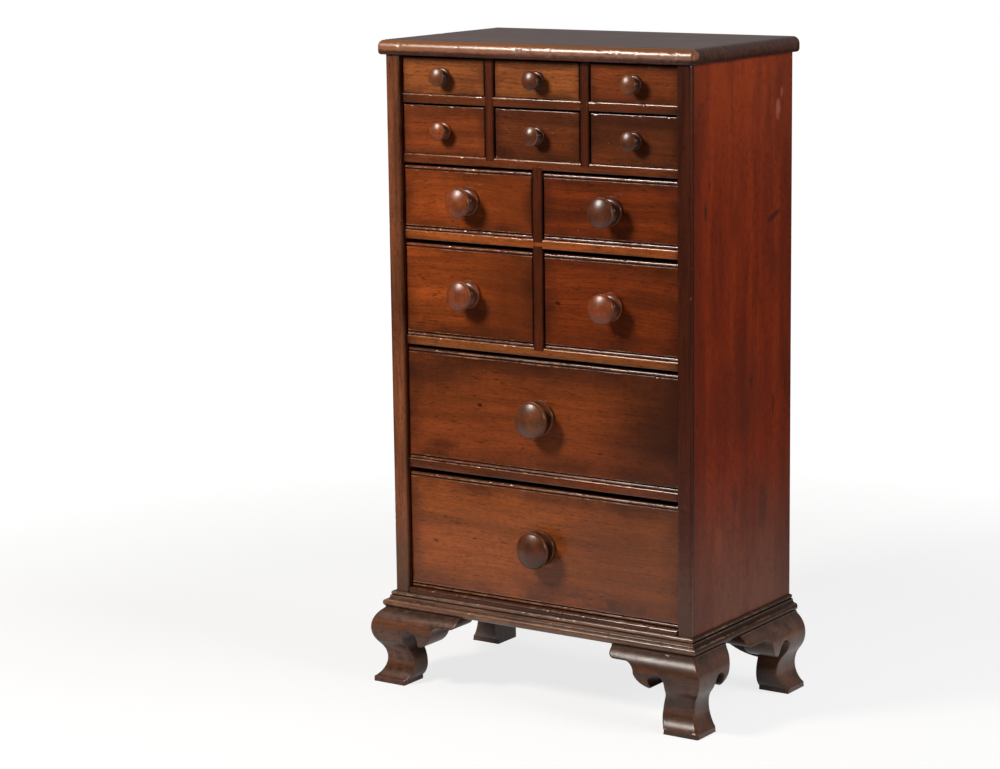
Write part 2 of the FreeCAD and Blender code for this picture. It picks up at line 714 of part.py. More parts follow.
class Drawer:
    """One drawer: its expressions of size and place, and its pieces."""

    def __init__(self, label, row, column, count, divider_thick, knob, tail_count):
        opening = f"(({CLEAR} - {count - 1} * {divider_thick}) / {count})"
        self.label = label
        self.wide = f"({opening} - 2 * drawer_side_gap)"
        self.high = f"({ROWS[row]} - {GAPS[row]} - drawer_foot_gap)"
        self.at = (f"-{CLEAR} / 2 + {opening} / 2 + {column} * ({opening} + {divider_thick})",
                   "front_line + drawer_recess", f"{shelf_top(row)} + drawer_foot_gap")
        self.beaded = row >= 2
        self.knob_size = knob
        side_high = value(f"{self.high} - side_drop")
        panel_top = dim.panel_lift + dim.panel_thick
        length = dim.drawer_length
        self.side_high = side_high
        self.front_tails = tails(dim.front_thick, dim.front_lap, 0, side_high, tail_count)
        self.back_tails = tails(length - dim.drawer_side, length, panel_top, side_high, tail_count - 1)

    def sockets(self, body, shapes):
        """Cuts the spaces for the tails into both ends of a board."""
        for hand in (-1, 1):
            sketch = sketch_on(body, "YZ_Plane", f"{hand} * {self.wide} / 2")
            for corners in shapes:
                outline(sketch, corners[0], *((corner,) for corner in corners[1:]))
            pocket(body, sketch, "drawer_side", -hand)

    def front(self):
        """The front: a board with or without beaded edges, cut for the sides, the panel and the knob."""
        body = new_body(f"{self.label}_front")
        thick, high = dim.front_thick, value(self.high)
        section = sketch_on(body, "YZ_Plane", f"-{self.wide} / 2")
        if self.beaded:
            r = dim.bead_width / 2
            field = dim.bead_width + dim.quirk_width
            outline(section, (thick, 0), ((r, 0),), ((0, r), (r, 2 * r)), ((0, field),),
                    ((0, high - field),), ((r, high - 2 * r),), ((0, high - r), (r, high)), ((thick, high),))
        else:
            rectangle(section, "0", "0", "front_thick", self.high)
        pad(body, section, self.wide)
        self.sockets(body, self.front_tails)
        groove = sketch_on(body, "XZ_Plane", "front_thick")
        rectangle(groove, f"-{self.wide} / 2 + drawer_side - groove_depth", "panel_lift",
                  f"{self.wide} - 2 * drawer_side + 2 * groove_depth", "panel_thick")
        pocket(body, groove, "groove_depth", -1)
        bore = sketch_on(body, "XZ_Plane", "0")
        bore.addGeometry(Part.Circle(Vector(0, high / 2), Vector(0, 0, 1), self.tenon_radius()), False)
        pocket(body, bore, "tenon_length + 0.5", 1)
        place(body, *self.at)
        return body

    def tenon_radius(self):
        """The radius of the knob's tenon and of its hole."""
        return 0.15 * value(self.knob_size)

    def knob(self):
        """The turned knob: tenon, base disc, hollow neck and an oval head of a round rim and a flatter face.

        The rim's circle and the face's circle touch where a line from the face's centre through the
        rim's centre meets both.
        """
        body = new_body(f"{self.label}_knob")
        d, reach = value(self.knob_size), value(f"{self.knob_size}_reach")
        base, high, rim = 0.12 * d, 0.22 * d, 0.12 * d
        widest, centre = reach - high, 0.5 * d - rim
        face = (centre ** 2 + high ** 2 - rim ** 2) / (2 * (high - rim))
        lean = math.atan2(centre, face - high)

        def on_rim(angle):
            return (-(widest + rim * math.cos(angle)), centre + rim * math.sin(angle))

        behind = on_rim(math.radians(155))
        neck = (-(base - behind[0]) / 2, 0.25 * d)
        crown = (-(reach - face * (1 - math.cos(lean / 2))), face * math.sin(lean / 2))
        profile = sketch_on(body, "YZ_Plane")
        outline(profile, (dim.tenon_length, 0), ((dim.tenon_length, self.tenon_radius()),),
                ((0, self.tenon_radius()),), ((0, 0.45 * d),),
                ((-base / 2, 0.48 * d), (-base, 0.45 * d)), ((-base, 0.4 * d),),
                (neck, behind), (on_rim(math.radians(122)), on_rim(math.pi / 2)),
                (on_rim((math.pi / 2 + lean) / 2), on_rim(lean)), (crown, (-reach, 0)))
        turning = body.newObject("PartDesign::Revolution", f"{body.Name}_turning")
        turning.Profile = profile
        turning.ReferenceAxis = (profile, ["H_Axis"])
        turning.Angle = 360
        x, y, z = self.at
        place(body, x, y, f"{z} + {self.high} / 2")
        return body

    def side(self, hand):
        """One side, tailed at both ends and grooved for the panel."""
        body = new_body(f"{self.label}_{'left' if hand < 0 else 'right'}_side")
        outer = f"{hand} * {self.wide} / 2"
        inner = f"{hand} * ({self.wide} / 2 - drawer_side)"
        front, back = dim.front_thick, dim.drawer_length - dim.drawer_side
        end = dim.drawer_length
        panel_top = dim.panel_lift + dim.panel_thick
        path = [(front, 0)]
        for corners in self.front_tails:
            path += corners
        path += [(front, self.side_high), (back, self.side_high)]
        for corners in reversed(self.back_tails):
            path += reversed(corners)
        path += [(back, panel_top), (end, panel_top), (end, 0)]
        blank = sketch_on(body, "YZ_Plane", outer)
        outline(blank, path[0], *((point,) for point in path[1:]))
        pad(body, blank, "drawer_side", -hand)
        groove = sketch_on(body, "YZ_Plane", inner)
        rectangle(groove, "front_thick - groove_depth", "panel_lift",
                  "drawer_length - front_thick + groove_depth", "panel_thick")
        pocket(body, groove, "groove_depth", hand)
        place(body, *self.at)
        return body

    def back(self):
        """The back, standing on the panel between the tails of the sides."""
        body = new_body(f"{self.label}_back")
        blank = sketch_on(body, "XZ_Plane", "drawer_length")
        rectangle(blank, f"-{self.wide} / 2", "panel_lift + panel_thick", self.wide,
                  f"{self.high} - side_drop - panel_lift - panel_thick")
        pad(body, blank, "drawer_side", -1)
        self.sockets(body, self.back_tails)
        place(body, *self.at)
        return body

    def panel(self):
        """The bottom panel, in the grooves of the front and the sides."""
        x, y, z = self.at
        wide = f"({self.wide} - 2 * drawer_side + 2 * groove_depth)"
        return box(f"{self.label}_panel", wide, "drawer_length - front_thick + groove_depth", "panel_thick",
                   f"{x} - {wide} / 2", f"{y} + front_thick - groove_depth", f"{z} + panel_lift")

    def build(self):
        """The drawer's three nodes: front, knob and box."""
        pieces = [self.side(-1), self.side(1), self.back(), self.panel()]
        return [self.front(), self.knob(), together(f"{self.label}_box", pieces)]


ROW_PLANS = [
    (("left", "middle", "right"), "upper_divider", "small_knob", 2),
    (("left", "middle", "right"), "upper_divider", "small_knob", 2),
    (("left", "right"), "lower_divider", "middle_knob", 3),
    (("left", "right"), "lower_divider", "middle_knob", 4),
    (("wide",), "lower_divider", "large_knob", 5),
    (("wide",), "lower_divider", "large_knob", 5),
]


def drawers():
    """All twelve drawers, row by row from the top."""
    made = []
    for row, (names, thick, knob, tail_count) in enumerate(ROW_PLANS):
        for column, name in enumerate(names):
            label = f"drawer_{row + 1}_{name}"
            made += Drawer(label, row, column, len(names), thick, knob, tail_count).build()
    return made


# Assembly, checks and export

def assemble():
    """Every node of the cabinet."""
    left_side = side_board()
    left_facing = facing()
    left_moulding = side_moulding()
    front_left = together("front_left_foot", [front_bracket(), side_bracket()])
    rear_left = together("rear_left_foot", [rear_side_bracket(), rear_bracket()])
    made = [left_side, mirrored("right_side", left_side), floor_board(), top_board()]
    made += [shelf(row) for row in range(5)]
    made.append(upper_dividers())
    made.append(divider("middle_divider", LOWER_LEFTS[0], "lower_divider", shelf_top(2),
                        f"({shelf_top(1)} - shelf_thick)"))
    made.append(divider("lower_divider_board", LOWER_LEFTS[0], "lower_divider", shelf_top(3),
                        f"({shelf_top(2)} - shelf_thick)"))
    made += [left_facing, mirrored("right_facing", left_facing), back_boards(), back_nails()]
    made += [front_moulding(), left_moulding, mirrored("right_moulding", left_moulding)]
    made += [front_left, mirrored("front_right_foot", front_left)]
    made += [rear_left, mirrored("rear_right_foot", rear_left)]
    made.append(together("base_blocks", base_rails() + foot_blocks()))
    return made + drawers()


def check(made):
    """Stops if an object failed, a cut took nothing away or a sub-part is not sound."""
    for thing in doc.Objects:
        if {"Invalid", "Error"} & set(thing.State):
            raise RuntimeError(f"{thing.Name} failed: {thing.State}")
    for cut in cuts:
        if cut.Shape.Volume > cut.BaseFeature.Shape.Volume - 0.01:
            raise RuntimeError(f"{cut.Name} cuts nothing")
    for thing in made:
        if thing.Shape.isNull() or not thing.Shape.isValid():
            raise RuntimeError(f"{thing.Label} is not sound")


def main():
    made = assemble()
    doc.recompute()
    check(made)
    os.makedirs("parts", exist_ok=True)
    for thing in made:
        thing.Shape.exportStep(f"parts/{thing.Label}.step")
        print(thing.Label, len(thing.Shape.Solids), round(thing.Shape.Volume))
    whole = Part.makeCompound([thing.Shape for thing in made]).BoundBox
    print(len(made), "nodes,", whole)


main()
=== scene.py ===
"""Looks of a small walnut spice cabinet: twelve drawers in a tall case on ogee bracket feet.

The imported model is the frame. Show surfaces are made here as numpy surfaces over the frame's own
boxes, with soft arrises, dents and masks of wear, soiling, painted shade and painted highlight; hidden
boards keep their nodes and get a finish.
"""
import logging
import math
from dataclasses import dataclass, replace
from enum import Enum
from functools import cache

import bmesh
import bpy
import numpy as np
from mathutils import Matrix, Vector
from mathutils.geometry import delaunay_2d_cdt


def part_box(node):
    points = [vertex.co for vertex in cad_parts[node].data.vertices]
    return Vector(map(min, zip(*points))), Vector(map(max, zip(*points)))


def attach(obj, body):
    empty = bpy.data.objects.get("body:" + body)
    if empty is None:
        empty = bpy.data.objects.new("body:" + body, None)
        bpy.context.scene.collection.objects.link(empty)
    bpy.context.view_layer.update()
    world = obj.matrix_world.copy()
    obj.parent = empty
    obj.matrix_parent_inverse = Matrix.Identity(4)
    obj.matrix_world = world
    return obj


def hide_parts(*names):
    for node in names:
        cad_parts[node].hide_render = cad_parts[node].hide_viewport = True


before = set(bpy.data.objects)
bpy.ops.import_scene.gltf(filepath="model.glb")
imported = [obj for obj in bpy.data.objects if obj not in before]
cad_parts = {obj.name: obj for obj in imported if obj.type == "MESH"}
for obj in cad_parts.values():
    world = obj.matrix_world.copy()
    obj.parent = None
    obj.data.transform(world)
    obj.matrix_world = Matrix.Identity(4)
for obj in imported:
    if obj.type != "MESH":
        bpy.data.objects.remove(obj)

log = logging.getLogger("spice_cabinet")

MM = 0.001
Array = np.ndarray
Rgb = tuple[int, int, int]
Point = tuple[float, float]
Triple = tuple[float, float, float]
Radii = tuple[float, float, float, float]
Runs = tuple[int, int, int, int]
Leg = tuple[Point, int] | tuple[Point, Point, int]
Path = tuple[Point, *tuple[Leg, ...]]

SQUARE = 0.2
BAR_END = 0.12
SIDE_PLANE, FRONT_PLANE, MARK_DEPTH = 190, -98, 40


class GrainAxis(Enum):
    """The direction in which the fibres of a board run."""

    ACROSS = "XYZ"
    DEPTH = "YXZ"
    UPRIGHT = "ZYX"


class Hand(Enum):
    """A side of the cabinet, as seen from the front."""

    LEFT = -1
    RIGHT = 1

    @property
    def label(self) -> str:
        """The side as it stands in names."""
        return self.name.lower()


class Plan(Enum):
    """The plane in which a section is drawn, named by the axis that it is carried along."""

    ALONG_X = (1, 2, 0)
    ALONG_Y = (0, 2, 1)
    ALONG_Z = (0, 1, 2)


class Tone(Enum):
    """The middle tones of the walnut boards and turnings, roughly from dark to pale."""

    UMBER = (91, 45, 21)
    SEPIA = (102, 50, 24)
    BROWN = (110, 59, 29)
    CHESTNUT = (119, 50, 18)
    AMBER = (129, 62, 28)
    HAZEL = (128, 72, 36)
    COPPER = (141, 66, 26)
    TAWNY = (154, 80, 35)


def node_box(node: str) -> tuple[Array, Array]:
    """Lowest and highest corner of a node of the frame, in millimetres."""
    low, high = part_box(node)
    return np.array(low) / MM, np.array(high) / MM


# Numbers: noise, steps and arcs


def lattice(cells: Array, seed: int) -> Array:
    """Random numbers for whole-number cells: the coordinates times large primes, added and mixed.

    Args:
        cells: whole numbers, with the coordinates on the last axis.
        seed: picks another set of numbers.

    Returns:
        Numbers from 0 to 1, one for each cell.
    """
    primes = np.array([374761393, 668265263, 2246822519], np.int64)[: cells.shape[-1]]
    mixed = ((cells * primes).sum(-1) + seed * 40503 * 65537) & 0xFFFFFFFF
    mixed = ((mixed ^ (mixed >> 13)) * 1274126177) & 0xFFFFFFFF
    mixed = ((mixed ^ (mixed >> 15)) * 2246822519) & 0xFFFFFFFF
    return ((mixed ^ (mixed >> 16)) & 0xFFFF) / 65535.0


def noise(*coordinates: Array, seed: int) -> Array:
    """Smooth noise: corner numbers of each unit cell, blended with 3t^2 - 2t^3 along each axis.

    Args:
        coordinates: arrays of one shape, each counted in cells.
        seed: picks another noise.

    Returns:
        Numbers from 0 to 1 in the shape of the coordinates.
    """
    points = np.stack(np.broadcast_arrays(*coordinates), -1)
    low = np.floor(points).astype(np.int64)
    part = points - low
    blend = part * part * (3 - 2 * part)
    total = np.zeros(points.shape[:-1])
    for corner in np.ndindex(*(2,) * points.shape[-1]):
        step = np.array(corner)
        total += np.where(step == 1, blend, 1 - blend).prod(-1) * lattice(low + step, seed)
    return total


def ease(values: Array, low: float, high: float) -> Array:
    """A smooth step from 0 at low to 1 at high: 3t^2 - 2t^3."""
    t = np.clip((values - low) / (high - low), 0, 1)
    return t * t * (3 - 2 * t)


def near(distance: Array, width: float) -> Array:
    """A soft bump: e to the power of minus the squared distance in widths."""
    return np.exp(-((distance / width) ** 2))


def rounding(distance: Array, radius: float) -> Array:
    """How far a quarter circle of radius r drops at a distance d from its edge: r - sqrt(r^2 - (r - d)^2)."""
    short = np.clip(radius - distance, 0, radius)
    return radius - np.sqrt(np.maximum(radius**2 - short**2, 0))


def bruises(run: Array, height: Array, cells: Point, seed: int, low: float, high: float) -> Array:
    """Scattered dents: the peaks of a noise whose axes lie halfway between run and height.

    Args:
        run: places along the piece.
        height: places up the piece.
        cells: how large the noise's cells are along its two axes.
        seed: picks other dents.
        low: the noise at which a dent begins.
        high: the noise at which it is deepest.

    Returns:
        How deep each place is dented, from 0 to 1.
    """
    return ease(noise((run + height) / cells[0], (height - run) / cells[1], seed=seed), low, high)


def arc(start: Point, middle: Point, end: Point, count: int) -> Array:
    """Points on the circle through three points, without the first one.

    The centre is where the bisectors of the two chords cross, and the angle runs evenly from the
    start to the end on the side of the middle point.

    Args:
        start: where the arc begins.
        middle: a point that the arc passes.
        end: where it ends.
        count: how many points to give.

    Returns:
        An array of count points, the last one at the end.
    """
    a, b, c = (np.array(p, float) for p in (start, middle, end))
    matrix = 2 * np.array([b - a, c - a])
    centre = np.linalg.solve(matrix, np.array([b @ b - a @ a, c @ c - a @ a]))
    first, mid, last = (math.atan2(*(p - centre)[::-1]) for p in (a, b, c))
    turn = (last - first) % (2 * math.pi)
    if (mid - first) % (2 * math.pi) > turn:
        turn -= 2 * math.pi
    angles = first + turn * np.arange(1, count + 1) / count
    return centre + np.hypot(*(a - centre)) * np.stack([np.cos(angles), np.sin(angles)], -1)


def line(start: Point, end: Point, count: int = 1) -> Array:
    """Points evenly along a straight run, without the first one."""
    t = np.arange(1, count + 1)[:, None] / count
    return np.array(start, float) * (1 - t) + np.array(end, float) * t


def upright_arc(start: Point, end: Point) -> Point:
    """The middle of the arc that leaves start vertically and runs through end.

    Args:
        start: where the arc begins.
        end: where it ends.

    Returns:
        A point of the arc between the two.
    """
    across, up = end[0] - start[0], end[1] - start[1]
    radius = (across**2 + up**2) / (2 * abs(across))
    half = math.atan2(abs(across), abs(up))
    return (
        start[0] + math.copysign(radius * (1 - math.cos(half)), across),
        start[1] + math.copysign(radius * math.sin(half), up),
    )


def ogee(start: Point, end: Point, count: int) -> tuple[Leg, Leg]:
    """The legs of two equal arcs that leave both ends vertically and meet halfway."""
    middle = ((start[0] + end[0]) / 2, (start[1] + end[1]) / 2)
    return (upright_arc(start, middle), middle, count), (upright_arc(end, middle), end, count)


def trace(start: Point, *legs: Leg) -> Array:
    """Points along a path of straight runs and arcs.

    Args:
        start: where the path begins.
        legs: an end and a count of points for a straight run; a middle, an end and a count for an arc.

    Returns:
        The points, the start first.
    """
    points = [np.array([start], float)]
    for *middle, end, count in legs:
        points.append(arc(start, *middle, end, count) if middle else line(start, end, count))
        start = end
    return np.vstack(points)


def stations(low: float, high: float, step: float, round_end: float) -> tuple[Array, Array]:
    """Places along a run and how far a section draws in there to round both ends off.

    Args:
        low: where the run begins.
        high: where it ends.
        step: about how far the places stand apart.
        round_end: the radius of the rounding.

    Returns:
        The places and the draw at each.
    """
    turn = np.linspace(0, math.pi / 2, 5)[:-1]
    tip = round_end * (1 - np.cos(turn))
    inner = np.linspace(low + round_end, high - round_end, max(2, round((high - low) / step)))
    places = np.concatenate([low + tip, inner, (high - tip)[::-1]])
    return places, rounding(np.minimum(places - low, high - places), round_end)


def rounded_box(low: Point, high: Point, radii: Radii, steps: Runs, turn: int) -> Array:
    """A closed rectangle whose corners are quarter circles, anticlockwise from the lower left.

    Args:
        low: lowest corner.
        high: highest corner.
        radii: radius of the lower left, lower right, upper right and upper left corner.
        steps: how many runs the lower, right, upper and left edge have.
        turn: how many runs a corner has.

    Returns:
        The points of the loop.
    """
    corners = np.array([low, (high[0], low[1]), high, (low[0], high[1])], float)
    inward = np.array([(1, 1), (-1, 1), (-1, -1), (1, -1)], float)
    centres = corners + inward * np.array(radii)[:, None]
    loop = []
    for index, radius in enumerate(radii):
        angles = math.pi * (1 + index / 2) + np.linspace(0, math.pi / 2, turn + 1)
        loop.append(centres[index] + radius * np.stack([np.cos(angles), np.sin(angles)], -1))
        along = (1, 0) if index % 2 == 0 else (0, 1)
        leaving = loop[-1][-1]
        arriving = np.where(along, centres[(index + 1) % 4], leaving)
        loop.append(line(tuple(leaving), tuple(arriving), steps[index])[:-1])
    return np.vstack(loop)


# Meshes


def normals_of(rings: Array) -> Array:
    """Unit normals of a surface of closed rings: the cross product of its two tangents.

    Args:
        rings: the points, ring by ring.

    Returns:
        A normal for each point.
    """
    round_it = np.roll(rings, -1, 1) - np.roll(rings, 1, 1)
    along = np.gradient(rings, axis=0)
    across = np.cross(round_it, along)
    return across / np.maximum(np.linalg.norm(across, axis=-1, keepdims=True), 1e-12)


def inward_of(loop: Array) -> Array:
    """Unit normals of a closed anticlockwise loop, pointing into it.

    Args:
        loop: the points of the loop.

    Returns:
        A normal for each point.
    """
    tangent = np.roll(loop, -1, 0) - np.roll(loop, 1, 0)
    inward = np.stack([-tangent[:, 1], tangent[:, 0]], -1)
    return inward / np.maximum(np.linalg.norm(inward, axis=-1, keepdims=True), 1e-9)


def carried(section: Array, places: Array, draws: Array, plan: Plan) -> Array:
    """A closed section carried along an axis, drawn in along its own normals at each place.

    Args:
        section: points of the loop, anticlockwise.
        places: where along the axis the section stands.
        draws: how far it is drawn in at each place.
        plan: which axes the section and the run lie on.

    Returns:
        Rings of points, one ring for each place.
    """
    flat = section[None] + inward_of(section)[None] * draws[:, None, None]
    first, second, run = plan.value
    rings = np.empty((len(places), len(section), 3))
    rings[..., first], rings[..., second] = flat[..., 0], flat[..., 1]
    rings[..., run] = places[:, None]
    return rings


def bar(low: Array, high: Array, plan: Plan, radii: Radii, steps: Runs, turn: int, step: float) -> Array:
    """A bar over a box: a rectangle with round corners carried along an axis, its ends softened.

    Args:
        low: lowest corner of the box.
        high: its highest corner.
        plan: which axes the section and the run lie on.
        radii: radii of the section's corners, as rounded_box takes them.
        steps: runs along the section's edges.
        turn: runs round each corner.
        step: about how far the rings stand apart.

    Returns:
        Rings of points along the bar.
    """
    first, second, run = plan.value
    section = rounded_box((low[first], low[second]), (high[first], high[second]), radii, steps, turn)
    places, draws = stations(low[run], high[run], step, BAR_END)
    return carried(section, places, draws, plan)


def add_object(name: str, data: bpy.types.ID) -> bpy.types.Object:
    """A new object of the data, linked into the scene.

    Args:
        name: the object's name.
        data: its mesh, lamp or camera.

    Returns:
        The object.
    """
    made = bpy.data.objects.new(name, data)
    bpy.context.scene.collection.objects.link(made)
    return made


def outward(points: Array, faces: list[list[int]]) -> list[list[int]]:
    """The faces, turned round if the volume under their first corners comes out negative.

    Three corners of each face give a signed volume towards the middle of the points; on a closed
    and nearly round or flat piece the sign of the sum tells which way the faces look.
    """
    corners = np.array([face[:3] for face in faces])
    a, b, c = (points[corners[:, i]] - points.mean(0) for i in range(3))
    if np.einsum("ij,ij->i", a, np.cross(b, c)).sum() < 0:
        return [face[::-1] for face in faces]
    return faces


def mesh_piece(name: str, points: Array, faces: list[list[int]], masks: dict[str, Array],
               sharp: float = 42) -> bpy.types.Object:
    """A smooth-shaded object of the points and faces, with its masks as point attributes.

    Args:
        name: the piece's name.
        points: its points, in millimetres.
        faces: indices of the points of each face.
        masks: numbers for each point, by name.
        sharp: angle in degrees over which an edge stays sharp.

    Returns:
        The new object, in the scene.
    """
    mesh = bpy.data.meshes.new(name)
    mesh.from_pydata((points * MM).tolist(), [], outward(points, faces))
    for label, values in masks.items():
        layer = mesh.attributes.new(label, "FLOAT", "POINT")
        layer.data.foreach_set("value", np.ascontiguousarray(values, np.float32).ravel())
    mesh.polygons.foreach_set("use_smooth", np.ones(len(mesh.polygons), bool))
    mesh.set_sharp_from_angle(angle=math.radians(sharp))
    mesh.validate()
    return add_object(name, mesh)


def skin(name: str, rings: Array, masks: dict[str, Array]) -> bpy.types.Object:
    """A closed object over rings of points: quads between the rings, and a face on each end.

    Args:
        name: the piece's name.
        rings: the points, ring by ring.
        masks: a value from 0 to 1 for each point, by name.

    Returns:
        The object.
    """
    count, size = rings.shape[:2]
    index = np.arange(count * size).reshape(count, size)
    ahead = np.roll(index, -1, 1)
    quads = np.stack([index[:-1], ahead[:-1], ahead[1:], index[1:]], -1).reshape(-1, 4)
    faces = quads.tolist() + [index[0][::-1].tolist(), index[-1].tolist()]
    return mesh_piece(name, rings.reshape(-1, 3), faces, masks)


def dress(piece: bpy.types.Object, finish: "Finish", body: str, *nodes: str) -> None:
    """Gives a piece its finish, lets it ride on a body and stand for nodes.

    Args:
        piece: the object.
        finish: its finish.
        body: the body that it rides on.
        nodes: the nodes of the frame that it stands for.
    """
    piece.data.materials.append(finish.material())
    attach(piece, body)
    if nodes:
        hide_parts(*nodes)
    log.info("%s: %d faces, rides on %s, %s", piece.name, len(piece.data.polygons), body, finish.name)


def keep(node: str, finish: "Finish") -> None:
    """Leaves a node of the frame showing, with a finish of its own.

    Args:
        node: the node's name.
        finish: its finish.
    """
    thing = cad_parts[node]
    thing.data.materials.clear()
    thing.data.materials.append(finish.material())
    log.info("%s: kept, %s", node, finish.name)


# Shader graphs


def linear(colour: Rgb) -> tuple[float, float, float, float]:
    """A display colour from 0 to 255 as linear light, with full alpha.

    Args:
        colour: red, green and blue from 0 to 255.

    Returns:
        Red, green, blue and alpha from 0 to 1.
    """
    parts = np.array(colour) / 255
    light = np.where(parts <= 0.04045, parts / 12.92, ((parts + 0.055) / 1.055) ** 2.4)
    return (*light.tolist(), 1.0)


Socket = bpy.types.NodeSocket
Sockets = bpy.types.bpy_prop_collection
Value = Socket | float


class Graph:
    """Short ways to add nodes to a shader tree."""

    def __init__(self, tree: bpy.types.NodeTree) -> None:
        """Keeps the tree that the nodes go into."""
        self.tree = tree

    @classmethod
    def fresh(cls, owner: bpy.types.Material | bpy.types.World) -> "Graph":
        """The emptied graph of a material or a world.

        Args:
            owner: the material or world.

        Returns:
            Its graph, without nodes.
        """
        owner.use_nodes = True
        owner.node_tree.nodes.clear()
        return cls(owner.node_tree)

    def node(self, kind: str, **settings: object) -> bpy.types.Node:
        """A new node with its properties set.

        Args:
            kind: the node's type.
            settings: its properties by name.

        Returns:
            The node.
        """
        made = self.tree.nodes.new(kind)
        for key, value in settings.items():
            setattr(made, key, value)
        return made

    def feed(self, socket: Socket, value: object) -> None:
        """Links a socket to an output, or sets it to a plain value.

        Args:
            socket: the input.
            value: an output, a number, a vector or a colour.
        """
        if isinstance(value, bpy.types.NodeSocket):
            self.tree.links.new(value, socket)
        else:
            socket.default_value = value

    def fill(self, made: bpy.types.Node, *values: object) -> bpy.types.Node:
        """Feeds a node's first sockets in turn.

        Args:
            made: the node.
            values: what its sockets get, in order.

        Returns:
            The node.
        """
        for socket, value in zip(made.inputs, values):
            self.feed(socket, value)
        return made

    def give(self, made: bpy.types.Node, **values: object) -> bpy.types.Node:
        """Feeds a node's sockets by name; an underscore in a name stands for a space.

        Args:
            made: the node.
            values: what its sockets get, by name.

        Returns:
            The node.
        """
        for key, value in values.items():
            self.feed(made.inputs[key.replace("_", " ")], value)
        return made

    def math(self, operation: str, first: Value, second: Value = 0.0, clamp: bool = False) -> Socket:
        """One operation on two values."""
        made = self.node("ShaderNodeMath", operation=operation, use_clamp=clamp)
        return self.fill(made, first, second).outputs[0]

    def times(self, first: Value, second: Value, clamp: bool = False) -> Socket:
        """The product of two values."""
        return self.math("MULTIPLY", first, second, clamp)

    def plus(self, first: Value, second: Value, clamp: bool = False) -> Socket:
        """The sum of two values."""
        return self.math("ADD", first, second, clamp)

    def less(self, first: Value, second: Value, clamp: bool = False) -> Socket:
        """The difference of two values."""
        return self.math("SUBTRACT", first, second, clamp)

    def weighted(self, start: Value, *parts: tuple[Socket, Value]) -> Socket:
        """A value with weighted parts added to it.

        Args:
            start: the value.
            parts: each an output and its weight.

        Returns:
            The sum.
        """
        for part, weight in parts:
            start = self.plus(start, self.times(part, weight))
        return start

    def vector(self, operation: str, *values: object) -> bpy.types.Node:
        """One operation on vectors."""
        return self.fill(self.node("ShaderNodeVectorMath", operation=operation), *values)

    def stretched(self, vector: Socket, scale: Triple) -> Socket:
        """A vector multiplied along each axis."""
        return self.vector("MULTIPLY", vector, scale).outputs[0]

    def moved(self, vector: Socket, offset: Socket) -> Socket:
        """A vector with another one added."""
        return self.vector("ADD", vector, offset).outputs[0]

    def length(self, vector: Socket) -> Socket:
        """How long a vector is."""
        return self.vector("LENGTH", vector).outputs["Value"]

    def joined(self, *parts: Value) -> Socket:
        """A vector of three values."""
        return self.fill(self.node("ShaderNodeCombineXYZ"), *parts).outputs[0]

    def split(self, vector: Socket) -> Sockets:
        """The three parts of a vector, by letter."""
        return self.fill(self.node("ShaderNodeSeparateXYZ"), vector).outputs

    def seeded(self, vector: Socket, seed: Value, factors: Triple) -> Socket:
        """A vector moved by the seed times a factor along each axis, to pick another part of a noise."""
        return self.moved(vector, self.joined(*(self.times(seed, factor) for factor in factors)))

    def own_place(self) -> Socket:
        """Object coordinates."""
        return self.node("ShaderNodeTexCoord").outputs["Object"]

    def along_grain(self, own: Socket, axis: GrainAxis) -> Socket:
        """Object coordinates with X turned along the grain."""
        parts = self.split(own)
        return self.joined(*(parts[letter] for letter in axis.value))

    def noise(self, vector: Socket, scale: Value, detail: float = 2, rough: float = 0.5,
              twist: float = 0) -> Socket:
        """Fractal noise from 0 to 1."""
        made = self.node("ShaderNodeTexNoise", noise_dimensions="3D")
        self.give(made, Vector=vector, Scale=scale, Detail=detail, Roughness=rough, Distortion=twist)
        return made.outputs[0]

    def spread(self, value: Socket, low: Value, high: Value, start: float = 0, end: float = 1) -> Socket:
        """A smooth step of a value from one range to another, clamped."""
        made = self.node("ShaderNodeMapRange", interpolation_type="SMOOTHSTEP", clamp=True)
        return self.give(made, Value=value, From_Min=low, From_Max=high, To_Min=start, To_Max=end).outputs[0]

    def mix(self, factor: Value, first: object, second: object) -> Socket:
        """Two colours mixed by a factor.

        Args:
            factor: the share of the second.
            first: a colour.
            second: the other colour.

        Returns:
            The mixed colour.
        """
        made = self.node("ShaderNodeMix", data_type="RGBA", blend_type="MIX", clamp_factor=True)
        for index, value in ((0, factor), (6, first), (7, second)):
            self.feed(made.inputs[index], value)
        return made.outputs[2]

    def laid(self, tone: Socket, *coats: tuple[Socket, float, Rgb]) -> Socket:
        """A colour with coats laid over it in turn: each has a mask, a strength and a tone.

        Args:
            tone: the colour under the coats.
            coats: the coats, the lowest first.

        Returns:
            The coated colour.
        """
        for mask, strength, colour in coats:
            tone = self.mix(self.times(mask, strength), tone, linear(colour))
        return tone

    def ramp(self, value: Socket, *stops: tuple[float, Rgb]) -> Socket:
        """Colours spread over a value from 0 to 1.

        Args:
            value: where on the ramp to look.
            stops: each a place and its colour.

        Returns:
            The colour there.
        """
        made = self.node("ShaderNodeValToRGB")
        band = made.color_ramp
        while len(band.elements) < len(stops):
            band.elements.new(0.5)
        for element, (place, colour) in zip(band.elements, stops):
            element.position = place
            element.color = linear(colour)
        return self.fill(made, value).outputs[0]

    def bump(self, height: Socket, strength: float, distance: float) -> Socket:
        """A normal that follows a height; the distance is in metres."""
        made = self.node("ShaderNodeBump")
        return self.give(made, Strength=strength, Distance=distance, Height=height).outputs[0]

    def mask(self, label: str) -> Socket:
        """One of the piece's own point masks."""
        made = self.node("ShaderNodeAttribute", attribute_type="GEOMETRY", attribute_name=label)
        return made.outputs["Fac"]

